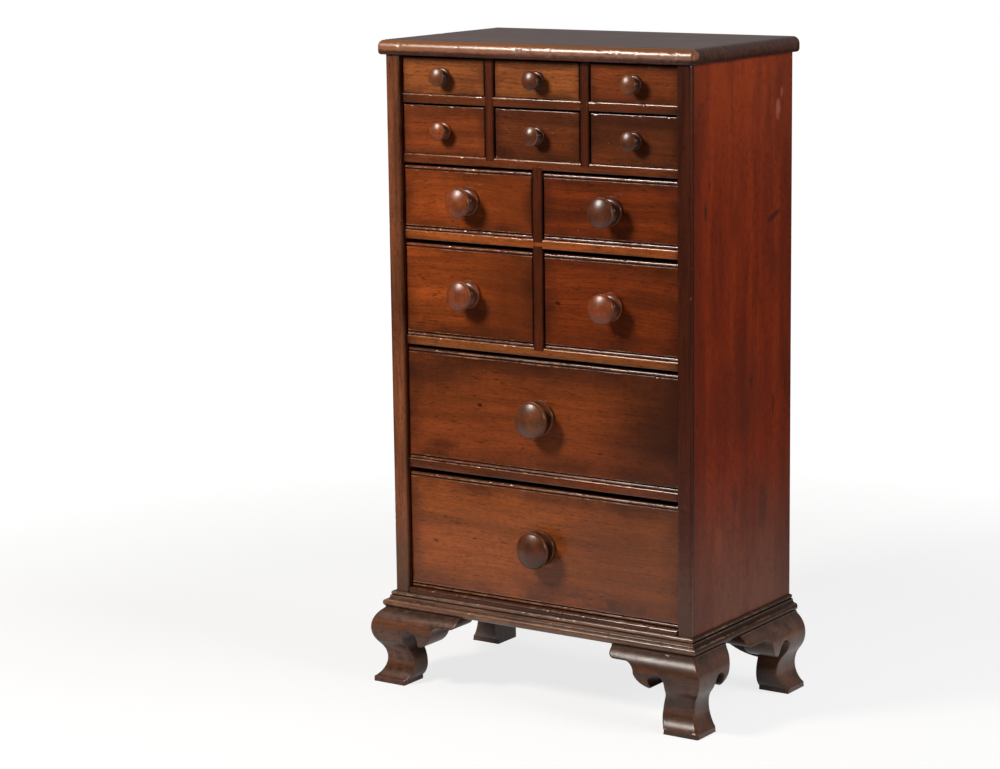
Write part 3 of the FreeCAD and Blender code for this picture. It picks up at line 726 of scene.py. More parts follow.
    def place(self, group: bpy.types.NodeTree, **inputs: object) -> Sockets:
        """The outputs of a node group whose inputs are fed by name."""
        return self.give(self.node("ShaderNodeGroup", node_tree=group), **inputs).outputs


def new_group(name: str, vectors: str, values: str, outputs: str) -> tuple[Graph, Sockets, bpy.types.Node]:
    """An empty shader group with its sockets; their names stand in a row with spaces between them.

    Args:
        name: the group's name.
        vectors: the inputs that are vectors.
        values: the inputs that are single values.
        outputs: the outputs, all single values.

    Returns:
        A graph of the group, its inputs as outputs of a node, and its end node.
    """
    tree = bpy.data.node_groups.new(name, "ShaderNodeTree")
    rows = ((vectors, "INPUT", "Vector"), (values, "INPUT", "Float"), (outputs, "OUTPUT", "Float"))
    for labels, way, kind in rows:
        for label in labels.split():
            tree.interface.new_socket(label, in_out=way, socket_type=f"NodeSocket{kind}")
    graph = Graph(tree)
    return graph, graph.node("NodeGroupInput").outputs, graph.node("NodeGroupOutput")


@cache
def grain_group() -> bpy.types.NodeTree:
    """Grain along X: slow bands, fine fibres, short pores, dark flecks and wide blotches.

    Each is a noise on coordinates that are squeezed along the grain, after a slow noise has moved
    them sideways, so that the bands flow.
    """
    graph, given, end = new_group("walnut_grain", "Vector", "Seed Bands", "Figure Fibre Pore Fleck Blotch")
    base = graph.seeded(given["Vector"], given["Seed"], (1.37, 2.11, 0.83))
    sway = graph.less(graph.noise(graph.stretched(base, (5, 9, 9)), 1), 0.5)
    flowing = graph.moved(base, graph.joined(0.0, graph.times(sway, 0.02), graph.times(sway, 0.024)))
    graph.give(
        end,
        Figure=graph.noise(graph.stretched(flowing, (2.6, 58, 58)), given["Bands"], 5, 0.6, 0.2),
        Fibre=graph.noise(graph.stretched(flowing, (12, 520, 520)), 1, 3, 0.65),
        Pore=graph.spread(graph.noise(graph.stretched(flowing, (130, 1750, 1750)), 1, 1), 0.53, 0.68),
        Fleck=graph.spread(graph.noise(graph.stretched(flowing, (80, 460, 460)), 1, 1), 0.66, 0.75),
        Blotch=graph.noise(graph.stretched(base, (8, 13, 13)), 1, 3, 0.55),
    )
    return graph.tree


@cache
def age_group() -> bpy.types.NodeTree:
    """Age on a surface: worn arrises, with painted highlights where a piece's arris mask asks for them;
    soiling in hollows, with painted shade where a piece's hollow mask covers gaps, creases, undersides
    and hidden faces; soiling round the rim; nicks and patches worn smoother.

    A mask and a noise are added and stepped, so that wear and dirt break up unevenly.
    """
    graph, given, end = new_group("age_marks", "Vector", "Seed Arris Hollow Rim Wear Grime",
                                  "Worn Dirty Rim Rubbed Nick Speck Mottle")
    base = graph.seeded(given["Vector"], given["Seed"], (0.71, 1.93, 1.29))
    broken, slow = graph.noise(base, 130, 4, 0.65), graph.noise(base, 21, 3, 0.55)
    edge = graph.weighted(given["Arris"], (graph.less(broken, 0.5), 1.5), (graph.less(slow, 0.5), 1.4))
    rim = graph.math("POWER", graph.less(1.0, given["Rim"], True), 1.2)
    rim = graph.times(rim, graph.spread(slow, 0.25, 0.7, 0.25, 1.0))
    # the hollow mask: soiling in real hollows, painted shade in the gaps, creases, undersides and hidden
    # faces that the pieces mark
    hollow = graph.times(given["Hollow"], graph.spread(broken, 0.2, 0.6, 0.6, 1.0))
    graph.give(
        end,
        Worn=graph.times(graph.spread(edge, 0.62, 1.15), given["Wear"], True),
        Dirty=graph.times(hollow, given["Grime"], True),
        Rim=graph.times(rim, given["Grime"], True),
        Rubbed=graph.spread(slow, 0.5, 0.74),
        Nick=graph.spread(graph.noise(base, 330), 0.74, 0.79),
        Speck=graph.spread(graph.noise(base, 460, 1), 0.775, 0.81),
        Mottle=graph.spread(graph.weighted(broken, (slow, 0.5)), 0.72, 0.98),
    )
    return graph.tree


@cache
def stain_group() -> bpy.types.NodeTree:
    """A stain: the distance from its middle, counted in its own half sizes, roughened and stepped.

    Returns:
        The node group.
    """
    graph, given, end = new_group("stain", "Vector Place Turn Size", "Ragged Strength", "Mask")
    local = graph.give(graph.node("ShaderNodeMapping", vector_type="TEXTURE"), Vector=given["Vector"],
                       Location=given["Place"], Rotation=given["Turn"], Scale=given["Size"])
    ragged = graph.less(graph.noise(given["Vector"], 120, 4, 0.62), 0.5)
    far = graph.weighted(graph.length(local.outputs[0]), (ragged, given["Ragged"]))
    graph.give(end, Mask=graph.times(graph.spread(far, 0.25, 1.0, 1, 0), given["Strength"]))
    return graph.tree


# Finishes


@dataclass(frozen=True)
class Mark:
    """A stain, bruise, scuff or sheen in one board: middle and half sizes in mm, turn in degrees."""

    place: Triple
    size: Triple
    tone: Rgb
    strength: float
    turn: Triple = (0, 0, 0)
    ragged: float = 1.1

    def lay(self, graph: Graph, own: Socket, colour: Socket) -> Socket:
        """The colour with this mark laid over it.

        Args:
            graph: the material's graph.
            own: the piece's own coordinates.
            colour: the colour so far.

        Returns:
            The marked colour.
        """
        place, size = (tuple(v * MM for v in values) for values in (self.place, self.size))
        turn = tuple(math.radians(v) for v in self.turn)
        mask = graph.place(stain_group(), Vector=own, Place=place, Turn=turn, Size=size, Ragged=self.ragged,
                           Strength=self.strength)
        return graph.mix(mask["Mask"], colour, linear(self.tone))


def side_mark(place: Point, size: Point, tone: Rgb, strength: float, turn: float = 0,
              ragged: float = 1.1) -> Mark:
    """A mark on the side boards: middle and half sizes along Y and Z, turned about X."""
    return Mark((SIDE_PLANE, *place), (MARK_DEPTH, *size), tone, strength, (turn, 0, 0), ragged)


def front_mark(place: Point, size: Point, tone: Rgb, strength: float, ragged: float = 1.1) -> Mark:
    """A mark on a drawer front: middle and half sizes along X and Z."""
    middle, half = (place[0], FRONT_PLANE, place[1]), (size[0], MARK_DEPTH, size[1])
    return Mark(middle, half, tone, strength, ragged=ragged)


@dataclass(frozen=True)
class Finish:
    """A finish that a slot of the record carries."""

    name: str
    slot: str

    def material(self) -> bpy.types.Material:
        """The finish as a material, built the first time that it is asked for.

        Returns:
            The material.
        """
        made = bpy.data.materials.get(self.name)
        if made is None:
            made = bpy.data.materials.new(self.name)
            graph = Graph.fresh(made)
            shader = graph.node("ShaderNodeBsdfPrincipled")
            self.paint(graph, shader)
            graph.give(graph.node("ShaderNodeOutputMaterial"), Surface=shader.outputs[0])
        return made

    def extra(self, graph: Graph, own: Socket, colour: Socket) -> Socket:
        """What one board alone has over the common finish: nothing, unless a finish says so."""
        return colour

    def paint(self, graph: Graph, shader: bpy.types.Node) -> None:
        """Feeds the shader's sockets."""
        raise NotImplementedError


@dataclass(frozen=True)
class Walnut(Finish):
    """Old polished walnut: three tones of figure, pores, patina and wear.

    The figure runs from deep over mid to pale. Gloss is the polish on clean wood; dull is the part of
    it that soiling and painted shade take away, and sheen is what worn arrises have more. Wear, soiling
    with painted shade, blotch and mottle say how strong each kind of age is, relief how strong the bump
    is. The dark colour of the hollow mask is soiling in real hollows and painted shade in gaps, creases,
    undersides and hidden faces; the worn colour is wear, and on some arrises also a painted highlight.
    An unmasked finish asks for no point masks.
    """

    deep: Rgb = (70, 30, 13)
    mid: Rgb = (118, 55, 24)
    pale: Rgb = (156, 80, 36)
    pore: Rgb = (38, 17, 9)
    patina: Rgb = (50, 24, 14)
    # dark colour of the hollow mask: soiling in real hollows, painted shade in gaps, creases, undersides and
    # hidden faces
    dirt_and_shade: Rgb = (27, 14, 9)
    # pale colour of the arris mask: wear, and on some arrises a painted highlight
    worn: Rgb = (176, 128, 96)
    axis: GrainAxis = GrainAxis.ACROSS
    seed: float = 1.0
    bands: float = 1.0
    rough: float = 0.2
    gloss: float = 0.5
    sheen: float = 0.0
    dull: float = 0.85
    wear: float = 0.8
    grime: float = 0.8
    # strength of the rim's patina and of the hollow mask's soiling and painted shade
    blotch: float = 0.5
    masked: bool = True
    relief: float = 0.35
    mottle: float = 0.15
    marks: tuple[Mark, ...] = ()

    def toned(self, name: str, mid: Rgb, seed: float, vary: float = 0.3) -> "Walnut":
        """The same finish round another middle tone: the part vary deeper, and two thirds of it paler."""
        scales = (1 - vary, 1 + vary / 1.5)
        deep, pale = (tuple(min(255, round(part * scale)) for part in mid) for scale in scales)
        return replace(self, name=name, deep=deep, mid=mid, pale=pale, seed=seed)

    def paint(self, graph: Graph, shader: bpy.types.Node) -> None:
        """Figure, fibres, pores, flecks and patina, then soiling and painted shade, wear and painted
        highlight from the piece's masks.

        Args:
            graph: the material's graph.
            shader: the surface shader to feed.
        """
        own = graph.own_place()
        turned = graph.along_grain(own, self.axis)
        grain = graph.place(grain_group(), Vector=turned, Seed=self.seed, Bands=self.bands)
        masks = {"Arris": 0.0, "Hollow": 0.0, "Rim": 1.0}
        if self.masked:
            masks = {key: graph.mask(key.lower()) for key in masks}
        age = graph.place(age_group(), Vector=own, Seed=self.seed, Wear=self.wear, Grime=self.grime, **masks)
        tone = graph.ramp(grain["Figure"], (0.3, self.deep), (0.5, self.mid), (0.72, self.pale))
        tone = graph.mix(graph.spread(grain["Fibre"], 0.42, 0.7, 0, 0.6), tone, linear(self.deep))
        tone = graph.laid(tone, (grain["Pore"], 0.42, self.pore), (grain["Fleck"], 0.55, self.pore))
        tone = graph.mix(graph.spread(grain["Blotch"], 0.45, 0.75, 0, self.blotch), tone, linear(self.patina))
        tone = self.extra(graph, own, tone)
        tone = graph.laid(tone, (age["Mottle"], self.mottle, self.patina))
        for mark in self.marks:
            tone = mark.lay(graph, own, tone)
        # the hollow mask's colour is soiling and painted shade; the worn colour is wear and painted highlight
        tone = graph.laid(
            tone, (age["Rim"], 0.8, self.patina), (age["Dirty"], 0.95, self.dirt_and_shade),
            (age["Worn"], 0.8, self.worn), (age["Nick"], 0.55, self.pore), (age["Speck"], 0.5, self.worn),
        )
        height = graph.weighted(0.0, (grain["Pore"], -0.04), (grain["Fibre"], 0.05),
                                (graph.noise(own, 55), 1.6), (age["Nick"], -0.3))
        clean = graph.less(self.gloss, graph.times(age["Dirty"], self.gloss * self.dull))
        graph.give(
            shader,
            Base_Color=tone,
            Roughness=graph.weighted(self.rough, (age["Dirty"], 0.04), (age["Rubbed"], -0.04)),
            Normal=graph.bump(height, self.relief, 0.0005),
            IOR=1.45,
            Specular_IOR_Level=graph.plus(clean, graph.times(masks["Arris"], self.sheen), True),
        )


@dataclass(frozen=True)
class CaseSide(Walnut):
    """The side boards: red-brown, with upright grain, small knots, a scuff, and a grey foot that is a
    painted reflection of the floor.
    """

    def extra(self, graph: Graph, own: Socket, colour: Socket) -> Socket:
        """Greyer towards the floor, a painted reflection of it; brighter under the top, painted light from
        above; uneven, and dark along both edges.

        Args:
            graph: the material's graph.
            own: the piece's own coordinates.
            colour: the colour so far.

        Returns:
            The changed colour.
        """
        parts = graph.split(own)
        uneven = graph.noise(graph.stretched(own, (26, 26, 7)), 1, 3, 0.6)
        edges = graph.plus(graph.spread(parts["Y"], -0.097, -0.06, 0.5, 0),
                           graph.spread(parts["Y"], 0.065, 0.112, 0, 0.4))
        # painted light: the grey reflection of the floor low down and the brighter band under the top
        for mask, tone in ((graph.spread(parts["Z"], 0.1, 0.3, 0.65, 0), (92, 62, 47)),
                           (graph.spread(parts["Z"], 0.54, 0.7, 0, 0.6), (133, 52, 20)),
                           (graph.spread(uneven, 0.46, 0.7, 0, 0.5), (66, 22, 11)),
                           (edges, (58, 22, 12))):
            colour = graph.mix(mask, colour, linear(tone))
        return colour


@dataclass(frozen=True)
class Poplar(Finish):
    """Bare secondary wood, browned by age."""

    axis: GrainAxis = GrainAxis.DEPTH
    seed: float = 3.0

    def board_seed(self, graph: Graph, own: Socket) -> Value:
        """The number that picks the grain: one for the whole piece."""
        return self.seed

    def paint(self, graph: Graph, shader: bpy.types.Node) -> None:
        """Dull tan figure with fibres and stains.

        Args:
            graph: the material's graph.
            shader: the surface shader to feed.
        """
        own = graph.own_place()
        turned = graph.along_grain(own, self.axis)
        grain = graph.place(grain_group(), Vector=turned, Seed=self.board_seed(graph, own), Bands=1.0)
        tone = graph.ramp(grain["Figure"], (0.3, (112, 78, 48)), (0.5, (146, 106, 66)), (0.7, (172, 132, 86)))
        tone = graph.mix(graph.spread(grain["Fibre"], 0.45, 0.75, 0, 0.4), tone, linear((96, 64, 38)))
        tone = graph.mix(graph.spread(grain["Blotch"], 0.5, 0.75, 0, 0.6), tone, linear((88, 58, 36)))
        graph.give(
            shader,
            Base_Color=self.extra(graph, own, tone),
            Roughness=graph.spread(grain["Fibre"], 0.2, 0.8, 0.62, 0.8),
            Normal=graph.bump(grain["Fibre"], 0.4, 0.0004),
        )


@dataclass(frozen=True)
class BoardedPoplar(Poplar):
    """Bare boards side by side: each has a grain of its own and a dark seam at its edge."""

    left: float = 0.0
    wide: float = 1.0

    def across(self, graph: Graph, own: Socket) -> Socket:
        """X counted in boards from the left edge."""
        return graph.math("DIVIDE", graph.less(graph.split(own)["X"], self.left), self.wide)

    def board_seed(self, graph: Graph, own: Socket) -> Value:
        """A number that steps from board to board."""
        return graph.plus(graph.times(graph.math("FLOOR", self.across(graph, own)), 2.3), self.seed)

    def extra(self, graph: Graph, own: Socket, colour: Socket) -> Socket:
        """Dark where X is close to a seam.

        Args:
            graph: the material's graph.
            own: the piece's own coordinates.
            colour: the colour so far.

        Returns:
            The changed colour.
        """
        part = graph.math("FRACT", self.across(graph, own))
        edge = graph.times(graph.math("MINIMUM", part, graph.less(1.0, part)), self.wide)
        return graph.mix(graph.spread(edge, 0.0004, 0.0016, 0.9, 0), colour, linear((28, 18, 12)))


@dataclass(frozen=True)
class NailIron(Finish):
    """Dull forged iron with brown rust."""

    def paint(self, graph: Graph, shader: bpy.types.Node) -> None:
        """Dark iron mixed with rust by a coarse noise.

        Args:
            graph: the material's graph.
            shader: the surface shader to feed.
        """
        rust = graph.spread(graph.noise(graph.own_place(), 600, 4, 0.6), 0.4, 0.65)
        graph.give(
            shader,
            Base_Color=graph.mix(rust, linear((52, 48, 46)), linear((94, 54, 34))),
            Metallic=graph.less(0.9, graph.times(rust, 0.8)),
            Roughness=graph.plus(0.5, graph.times(rust, 0.3)),
        )


SIDE_MARKS = (
    side_mark((-68, 545), (5, 15), (44, 27, 20), 0.8),
    side_mark((-60, 572), (3, 9), (52, 24, 15), 0.6),
    side_mark((77, 526), (5, 22), (38, 20, 16), 0.85, turn=-70),
    side_mark((84, 638), (8, 14), (170, 98, 76), 0.4),
    side_mark((92, 655), (4, 9), (170, 98, 76), 0.3),
    side_mark((66, 560), (17, 150), (72, 25, 14), 0.45),
    side_mark((28, 353), (5, 10), (44, 18, 12), 0.7),
    side_mark((76, 319), (4, 20), (50, 20, 13), 0.6),
    side_mark((54, 212), (13, 38), (50, 26, 20), 0.55),
    side_mark((10, 345), (90, 80), (72, 27, 16), 0.5, ragged=0.4),
    side_mark((-6, 235), (9, 24), (54, 26, 18), 0.5),
    side_mark((-40, 190), (12, 30), (122, 66, 42), 0.35),
)
POLISH = Walnut("board_polish", "case_walnut")
RAIL = replace(POLISH, wear=0.9, sheen=0.5)
LIP = replace(POLISH.toned("lip_polish", (82, 46, 30), 14.4), wear=0.7, worn=(150, 116, 92), sheen=0.5)
UPRIGHT = replace(POLISH.toned("upright_polish", (86, 37, 18), 6.3), axis=GrainAxis.UPRIGHT, wear=0.4)
# the worn colour on the nosing is wear and a painted highlight
TOP = replace(POLISH.toned("top_polish", (88, 40, 20), 7.7), rough=0.34, gloss=0.8, sheen=0.3, wear=0.75,
              worn=(140, 87, 48))
SIDE = CaseSide("side_polish", "case_walnut", (96, 30, 9), (111, 36, 11), (126, 45, 14), seed=8.4,
                axis=GrainAxis.UPRIGHT, patina=(58, 20, 11), masked=False, wear=0, grime=0, rough=0.36,
                gloss=0.16, blotch=0.2, mottle=0.4, marks=SIDE_MARKS)
DARK = Walnut("dark_polish", "dark_walnut", worn=(140, 92, 66))
FACING = replace(DARK, axis=GrainAxis.UPRIGHT, wear=0.5, blotch=0.6)
FACING_TONES = {Hand.LEFT: (120, 70, 45), Hand.RIGHT: (72, 32, 18)}
MOULDING = replace(DARK.toned("moulding_polish", (126, 87, 63), 10.6), wear=0.8, worn=(176, 142, 118),
                   rough=0.28, gloss=0.7, sheen=0.3, mottle=0.5)
SIDE_MOULDING = replace(MOULDING.toned("side_moulding_polish", (54, 37, 26), 10.6), axis=GrainAxis.DEPTH,
                        gloss=0.2, sheen=0.1, wear=0.4)
FOOT = replace(DARK, wear=0.5, worn=(120, 72, 47), patina=(38, 22, 15), grime=0.6, rough=0.33, gloss=0.5,
               mottle=0.7)
# left pair paler, right pair darker: painted light from the key on the left
FOOT_TONES_BY_LIGHT = {Hand.LEFT: (106, 67, 46), Hand.RIGHT: (88, 56, 40)}
KNOB = Walnut("knob_polish", "knob_walnut", axis=GrainAxis.DEPTH, rough=0.34, gloss=0.62, dull=0, bands=1.6,
              wear=0.4, grime=0.7, relief=0.15)
DRAWER = Walnut("drawer_polish", "drawer_walnut", sheen=0.6, grime=0.95)


# Case


@dataclass
class TopBoard:
    """The top: a board with a nosing on its front and ends, dented along the edge."""

    node: str = "top_board"
    over: float = 7.5
    under: float = 4.0
    corner: float = 4.0
    inset: float = 26.0
    flat: float = 4.0
    back_round: float = 0.5
    least_corner: float = 0.3

    def rings(self) -> Array:
        """Loops round the board from its underside over the nosing to its upper face.

        Each loop is a rectangle with rounded corners, set in from the edge by the nosing's section:
        a quarter circle below, a flat and a larger quarter circle above. The back edge stays square.
        """
        low, high = node_box(self.node)
        thick = high[2] - low[2]
        small, large = np.radians(np.linspace(0, 90, 7)), np.radians(np.linspace(0, 90, 11))
        halfway = (self.under + thick - self.over) / 2
        rise = np.concatenate([[0, 0], self.under * (1 - np.cos(small)), [halfway],
                               thick - self.over * (1 - np.sin(large)), [thick, thick]])
        draw = np.concatenate([[self.inset, self.under + self.flat], self.under * (1 - np.sin(small)), [0],
                               self.over * (1 - np.cos(large)), [self.over + self.flat, self.inset]])
        square = np.concatenate([[self.inset, self.flat], self.back_round * (1 - np.sin(small)), [0],
                                 self.back_round * (1 - np.cos(large)), [self.flat, self.inset]])
        loops = []
        for up, front, back in zip(rise, draw, square):
            least = self.least_corner
            radius = max(self.corner - front, least)
            flat = rounded_box((low[0] + front, low[1] + front), (high[0] - front, high[1] - back),
                               (radius, radius, least, least), (280, 130, 60, 130), 8)
            loops.append(np.column_stack([flat, np.full(len(flat), low[2] + up)]))
        return np.array(loops)

    def build(self) -> None:
        """Dents the nosing, more towards its right end, and dresses the board."""
        rings = self.rings()
        low, high = node_box(self.node)
        x, y, z = rings[..., 0], rings[..., 1], rings[..., 2]
        up = (z - low[2]) / (high[2] - low[2])
        edge = np.minimum.reduce([x - low[0], high[0] - x, y - low[1]])
        nosing = ease(-edge, -9, -5) * (y < high[1] - 3)
        run = x + y
        dents = 0.35 * ease(noise((run + z) / 5, (z - 0.6 * run) / 5, seed=3), 0.74, 0.9)
        nicks = 0.5 * ease(noise((run + 0.7 * z) / 2.2, (z - 0.7 * run) / 3.2, seed=4), 0.83, 0.93)
        nicks *= ease(x, -260, 200)
        sway = 0.5 * noise(run / 55, z / 30, seed=5)
        away = normals_of(rings)
        away *= np.sign((away[..., 2] * (up - 0.5)).sum())
        rings -= away * (nosing * (dents + nicks + sway))[..., None]
        masks = {
            # paler on the upper half of the front nosing: wear, and a painted highlight where the key light
            # falls
            "arris": nosing * (0.4 + 1.2 * ease(low[1] + 14 - y, 0, 8)) * ease(up, 0.1, 0.6),
            # painted shade on the nosing's underside and on its right end, besides the nicks
            "hollow": np.minimum(nosing * (0.6 * near(up, 0.2) + ease(nicks, 0.05, 0.25))
                                 + 0.6 * ease(x, high[0] - 10, high[0] - 3), 1),
            "rim": ease(edge, 4, 70),
        }
        dress(skin("top", rings, masks), TOP, "case", self.node)


@dataclass
class FacingStrip:
    """A round-edged strip glued over the front edge of a side board."""

    hand: Hand
    round_edge: float = 3.0

    def build(self) -> None:
        """A rounded rectangle carried up the case, slightly uneven as planed by hand."""
        node = f"{self.hand.label}_facing"
        low, high = node_box(node)
        r = self.round_edge
        rings = bar(low, high, Plan.ALONG_Z, (r, r, SQUARE, SQUARE), (8, 4, 4, 4), 7, 2.4)
        x, y, z = (rings[..., i] for i in range(3))
        front = ease(high[1] - y, 1, 3)
        seed = 11 + self.hand.value
        hurt = 0.3 * bruises(x, z, (4, 6), seed, 0.84, 0.95)
        rings[..., 1] += front * (0.25 * noise(x / 12, z / 60, seed=seed + 4) + hurt)
        sideways = np.minimum(x - low[0], high[0] - x)
        masks = {
            "arris": front * (0.4 * near(sideways - 0.8, 1.0) + 0.5 * ease(hurt, 0.1, 0.3)),
            # painted shade on the strip's side faces, in the gaps along it
            "hollow": near(sideways, 0.6) * (1 - front),
            "rim": np.minimum(ease(z, low[2], low[2] + 60), ease(-z, -high[2], -high[2] + 25)) * 0.8 + 0.2,
        }
        # a grey patch at the strip's foot: painted reflection of the floor
        floor_reflection = Mark((self.hand.value * 182, -97, 105), (30, 30, 110), (86, 62, 46), 0.5)
        finish = FACING.toned(f"{node}_polish", FACING_TONES[self.hand], 9.2 + self.hand.value)
        dress(skin(node + "_strip", rings, masks), replace(finish, marks=(floor_reflection,)), "case", node)


@dataclass
class Rail:
    """A shelf, whose front edge shows as a rail between two rows."""

    row: int
    tone: Tone
    round_edge: float = 1.5
    half_open: float = 173.0

    def build(self) -> None:
        """The shelf's section, soft at the two front arrises, carried across the case."""
        node = f"shelf_{self.row}"
        low, high = node_box(node)
        r = self.round_edge
        rings = bar(low, high, Plan.ALONG_X, (r, SQUARE, SQUARE, r), (10, 3, 10, 8), 5, 1.5)
        x, y, z = (rings[..., i] for i in range(3))
        front = ease(low[1] + 4 - y, 0, 3)
        over, beneath = high[2] - z, z - low[2]
        seed = 30 + 3 * self.row
        hurt = 0.4 * bruises(x, z, (5, 4), seed, 0.78, 0.94) * front * near(over, 3)
        rings[..., 1] += front * 0.3 * noise(x / 38, z / 9, seed=seed + 1) + hurt
        rings[..., 2] -= hurt * 0.6
        ends = self.half_open - np.abs(x)
        masks = {
            "arris": front * (0.95 * near(over - 0.3, 0.8) + 0.5 * near(beneath - 0.9, 0.6)),
            # painted shade under the front edge and on the faces inside the gaps; darker at both ends
            "hollow": front * np.maximum(near(ends, 4), near(beneath, 1.0)) + 0.6 * (1 - front),
            "rim": front * ease(ends, 0, 30),
        }
        finish = RAIL.toned(f"rail_{self.row}_polish", self.tone.value, 5.1 + self.row)
        dress(skin(f"rail_{self.row}", rings, masks), finish, "case", node)


@dataclass
class FloorLip:
    """The floor of the case, with a rounded lip that shows under the lowest drawer."""

    node: str = "floor_board"
    lip_half: float = 172.8
    lip_out: float = 6.0
    end_round: float = 2.5

    def build(self) -> None:
        """The floor's section carried across; past the lip's rounded ends its front is set back."""
        low, high = node_box(self.node)
        section = rounded_box(tuple(low[1:]), tuple(high[1:]), (0.5, SQUARE, SQUARE, 3.2), (10, 4, 10, 6), 9)
        inner, _ = stations(-self.lip_half, self.lip_half, 1.5, self.end_round)
        past = self.lip_half + 0.02
        places = np.concatenate([[low[0], -past], inner, [past, high[0]]])
        rings = carried(section, places, np.zeros(len(places)), Plan.ALONG_X)
        x, y, z = (rings[..., i] for i in range(3))
        ends = self.lip_half - np.abs(x)
        back = np.where(ends < 0, self.lip_out, rounding(ends, self.end_round))
        front = ease(low[1] + 8 - y, 0, 5)
        hurt = 0.5 * bruises(x, z, (5, 7), 61, 0.8, 0.94) * front
        rings[..., 1] = np.maximum(y, low[1] + back) + front * 0.3 * noise(x / 40, z / 9, seed=62) + hurt
        over = high[2] - z
        masks = {
            "arris": front * (0.8 * near(over - 0.6, 1.2) + 0.3 * ease(hurt, 0.1, 0.4)),
            # painted shade on every face but the lip's front
            "hollow": 1 - front,
            "rim": front * ease(ends, -2, 30),
        }
        dress(skin("floor_lip", rings, masks), LIP, "case", self.node)


@dataclass
class Dividers:
    """Upright boards between the drawers of one or two rows."""

    name: str
    node: str
    lefts: tuple[float, ...]
    thick: float
    round_edge: float = 1.0
    proud: float = 0.12

    def build(self) -> None:
        """A board's section, soft at its front arrises, carried up; one piece for each board."""
        low, high = node_box(self.node)
        for number, left in enumerate(self.lefts):
            r = self.round_edge
            box = np.array([(left, low[1] - self.proud, low[2]), (left + self.thick, high[1], high[2])])
            rings = bar(*box, Plan.ALONG_Z, (r, r, SQUARE, SQUARE), (6, 8, 3, 8), 5, 1.5)
            x, y, z = (rings[..., i] for i in range(3))
            front = ease(low[1] + 4 - y, 0, 3)
            seed = 70 + 5 * number + int(self.thick)
            rings[..., 1] += front * 0.16 * noise(x / 9, z / 30, seed=seed)
            edge = np.minimum(x - left, left + self.thick - x)
            masks = {
                "arris": front * 0.7 * near(edge - 2.2, 0.7),
                # painted shadow along both edges, in the gaps beside the drawers, and painted shade on the
                # sides
                "hollow": np.minimum(0.9 * (1 - front) + near(edge, 2.0), 1),
                "rim": front * 0.8,
            }
            finish = replace(UPRIGHT, seed=UPRIGHT.seed + number, name=f"{self.name}_polish_{number + 1}")
            dress(skin(f"{self.name}_{number + 1}", rings, masks), finish, "case", self.node)


@dataclass
class BaseMoulding:
    """The moulding round the foot of the case, mitred at the two front corners."""

    half: float = 190.0
    plane: float = -97.5
    back: float = 115.5
    foot: float = 85.0

    def section(self) -> Array:
        """Reach and height of the section: a bead, a fillet, a cove, a fillet and a quarter round.

        Returns:
            The points of the closed section.
        """
        return trace(
            (0, 17.3), ((2, 17.3), 1), ((3.6, 15), (2.6, 12.8), 10), ((4.6, 12.4), 2), ((4.6, 11.4), 2),
            ((5.6, 9), (8.2, 8), 8), ((9.3, 7.6), 2), ((10.5, 4.3), (7.5, 0), 12),
            ((0, 0), 3), ((0, 17.3), 3),
        )[:-1]

    def wear(self, reach: Array, height: Array, run: Array, seed: int) -> tuple[Array, dict[str, Array]]:
        """How deep the face is worn, and its masks.

        Args:
            reach: how far each point stands out.
            height: how high it is.
            run: how far along the moulding.
            seed: of the random draws.

        Returns:
            The depth and the masks, a value for each point.
        """
        face = ease(reach, 0.2, 1.5)
        depth = face * (0.3 * noise(run / 30, height / 6, seed=seed)
                        + 0.3 * bruises(run, height, (5, 6), seed + 1, 0.8, 0.94))
        crest = near(height - 15.2, 1.3) + near(height - 11.9, 0.7) + near(height - 7.6, 0.8)
        # the last term is painted shade along the moulding's underside
        low = near(height - 12.8, 0.6) + near(height - 9.0, 0.9) + 0.6 * near(height, 2)
        masks = {
            "arris": face * np.minimum(0.85 * crest, 1),
            "hollow": np.minimum(low, 1),
            "rim": face * 0.75,
        }
        return depth, masks

    def build(self) -> None:
        """Three lengths; each ring of the front one is stretched so that its ends meet the mitres."""
        section = self.section()
        reach, height = section[:, 0], section[:, 1]
        part = np.linspace(-1, 1, 270)[:, None]
        x = part * (self.half + reach)
        front = np.stack(np.broadcast_arrays(x, self.plane - reach, self.foot + height), -1)
        depth, masks = self.wear(reach[None] + 0 * x, height[None] + 0 * x, x, 81)
        front[..., 1] += depth * ease(self.half + reach - np.abs(x), 0, 3)
        dress(skin("front_moulding_run", front, masks), MOULDING, "case", "front_moulding")
        part = np.linspace(0, 1, 140)[:, None]
        y = (self.plane - reach) * (1 - part) + self.back * part
        for hand in Hand:
            out = hand.value * (self.half + reach)
            side = np.stack(np.broadcast_arrays(out, y, self.foot + height), -1)
            depth, masks = self.wear(reach[None] + 0 * y, height[None] + 0 * y, y, 85 + hand.value)
            side[..., 0] -= hand.value * depth * ease(y - self.plane + reach, 0, 3)
            name = f"{hand.label}_moulding"
            dress(skin(name + "_run", side, masks), SIDE_MOULDING, "case", name)


# Feet


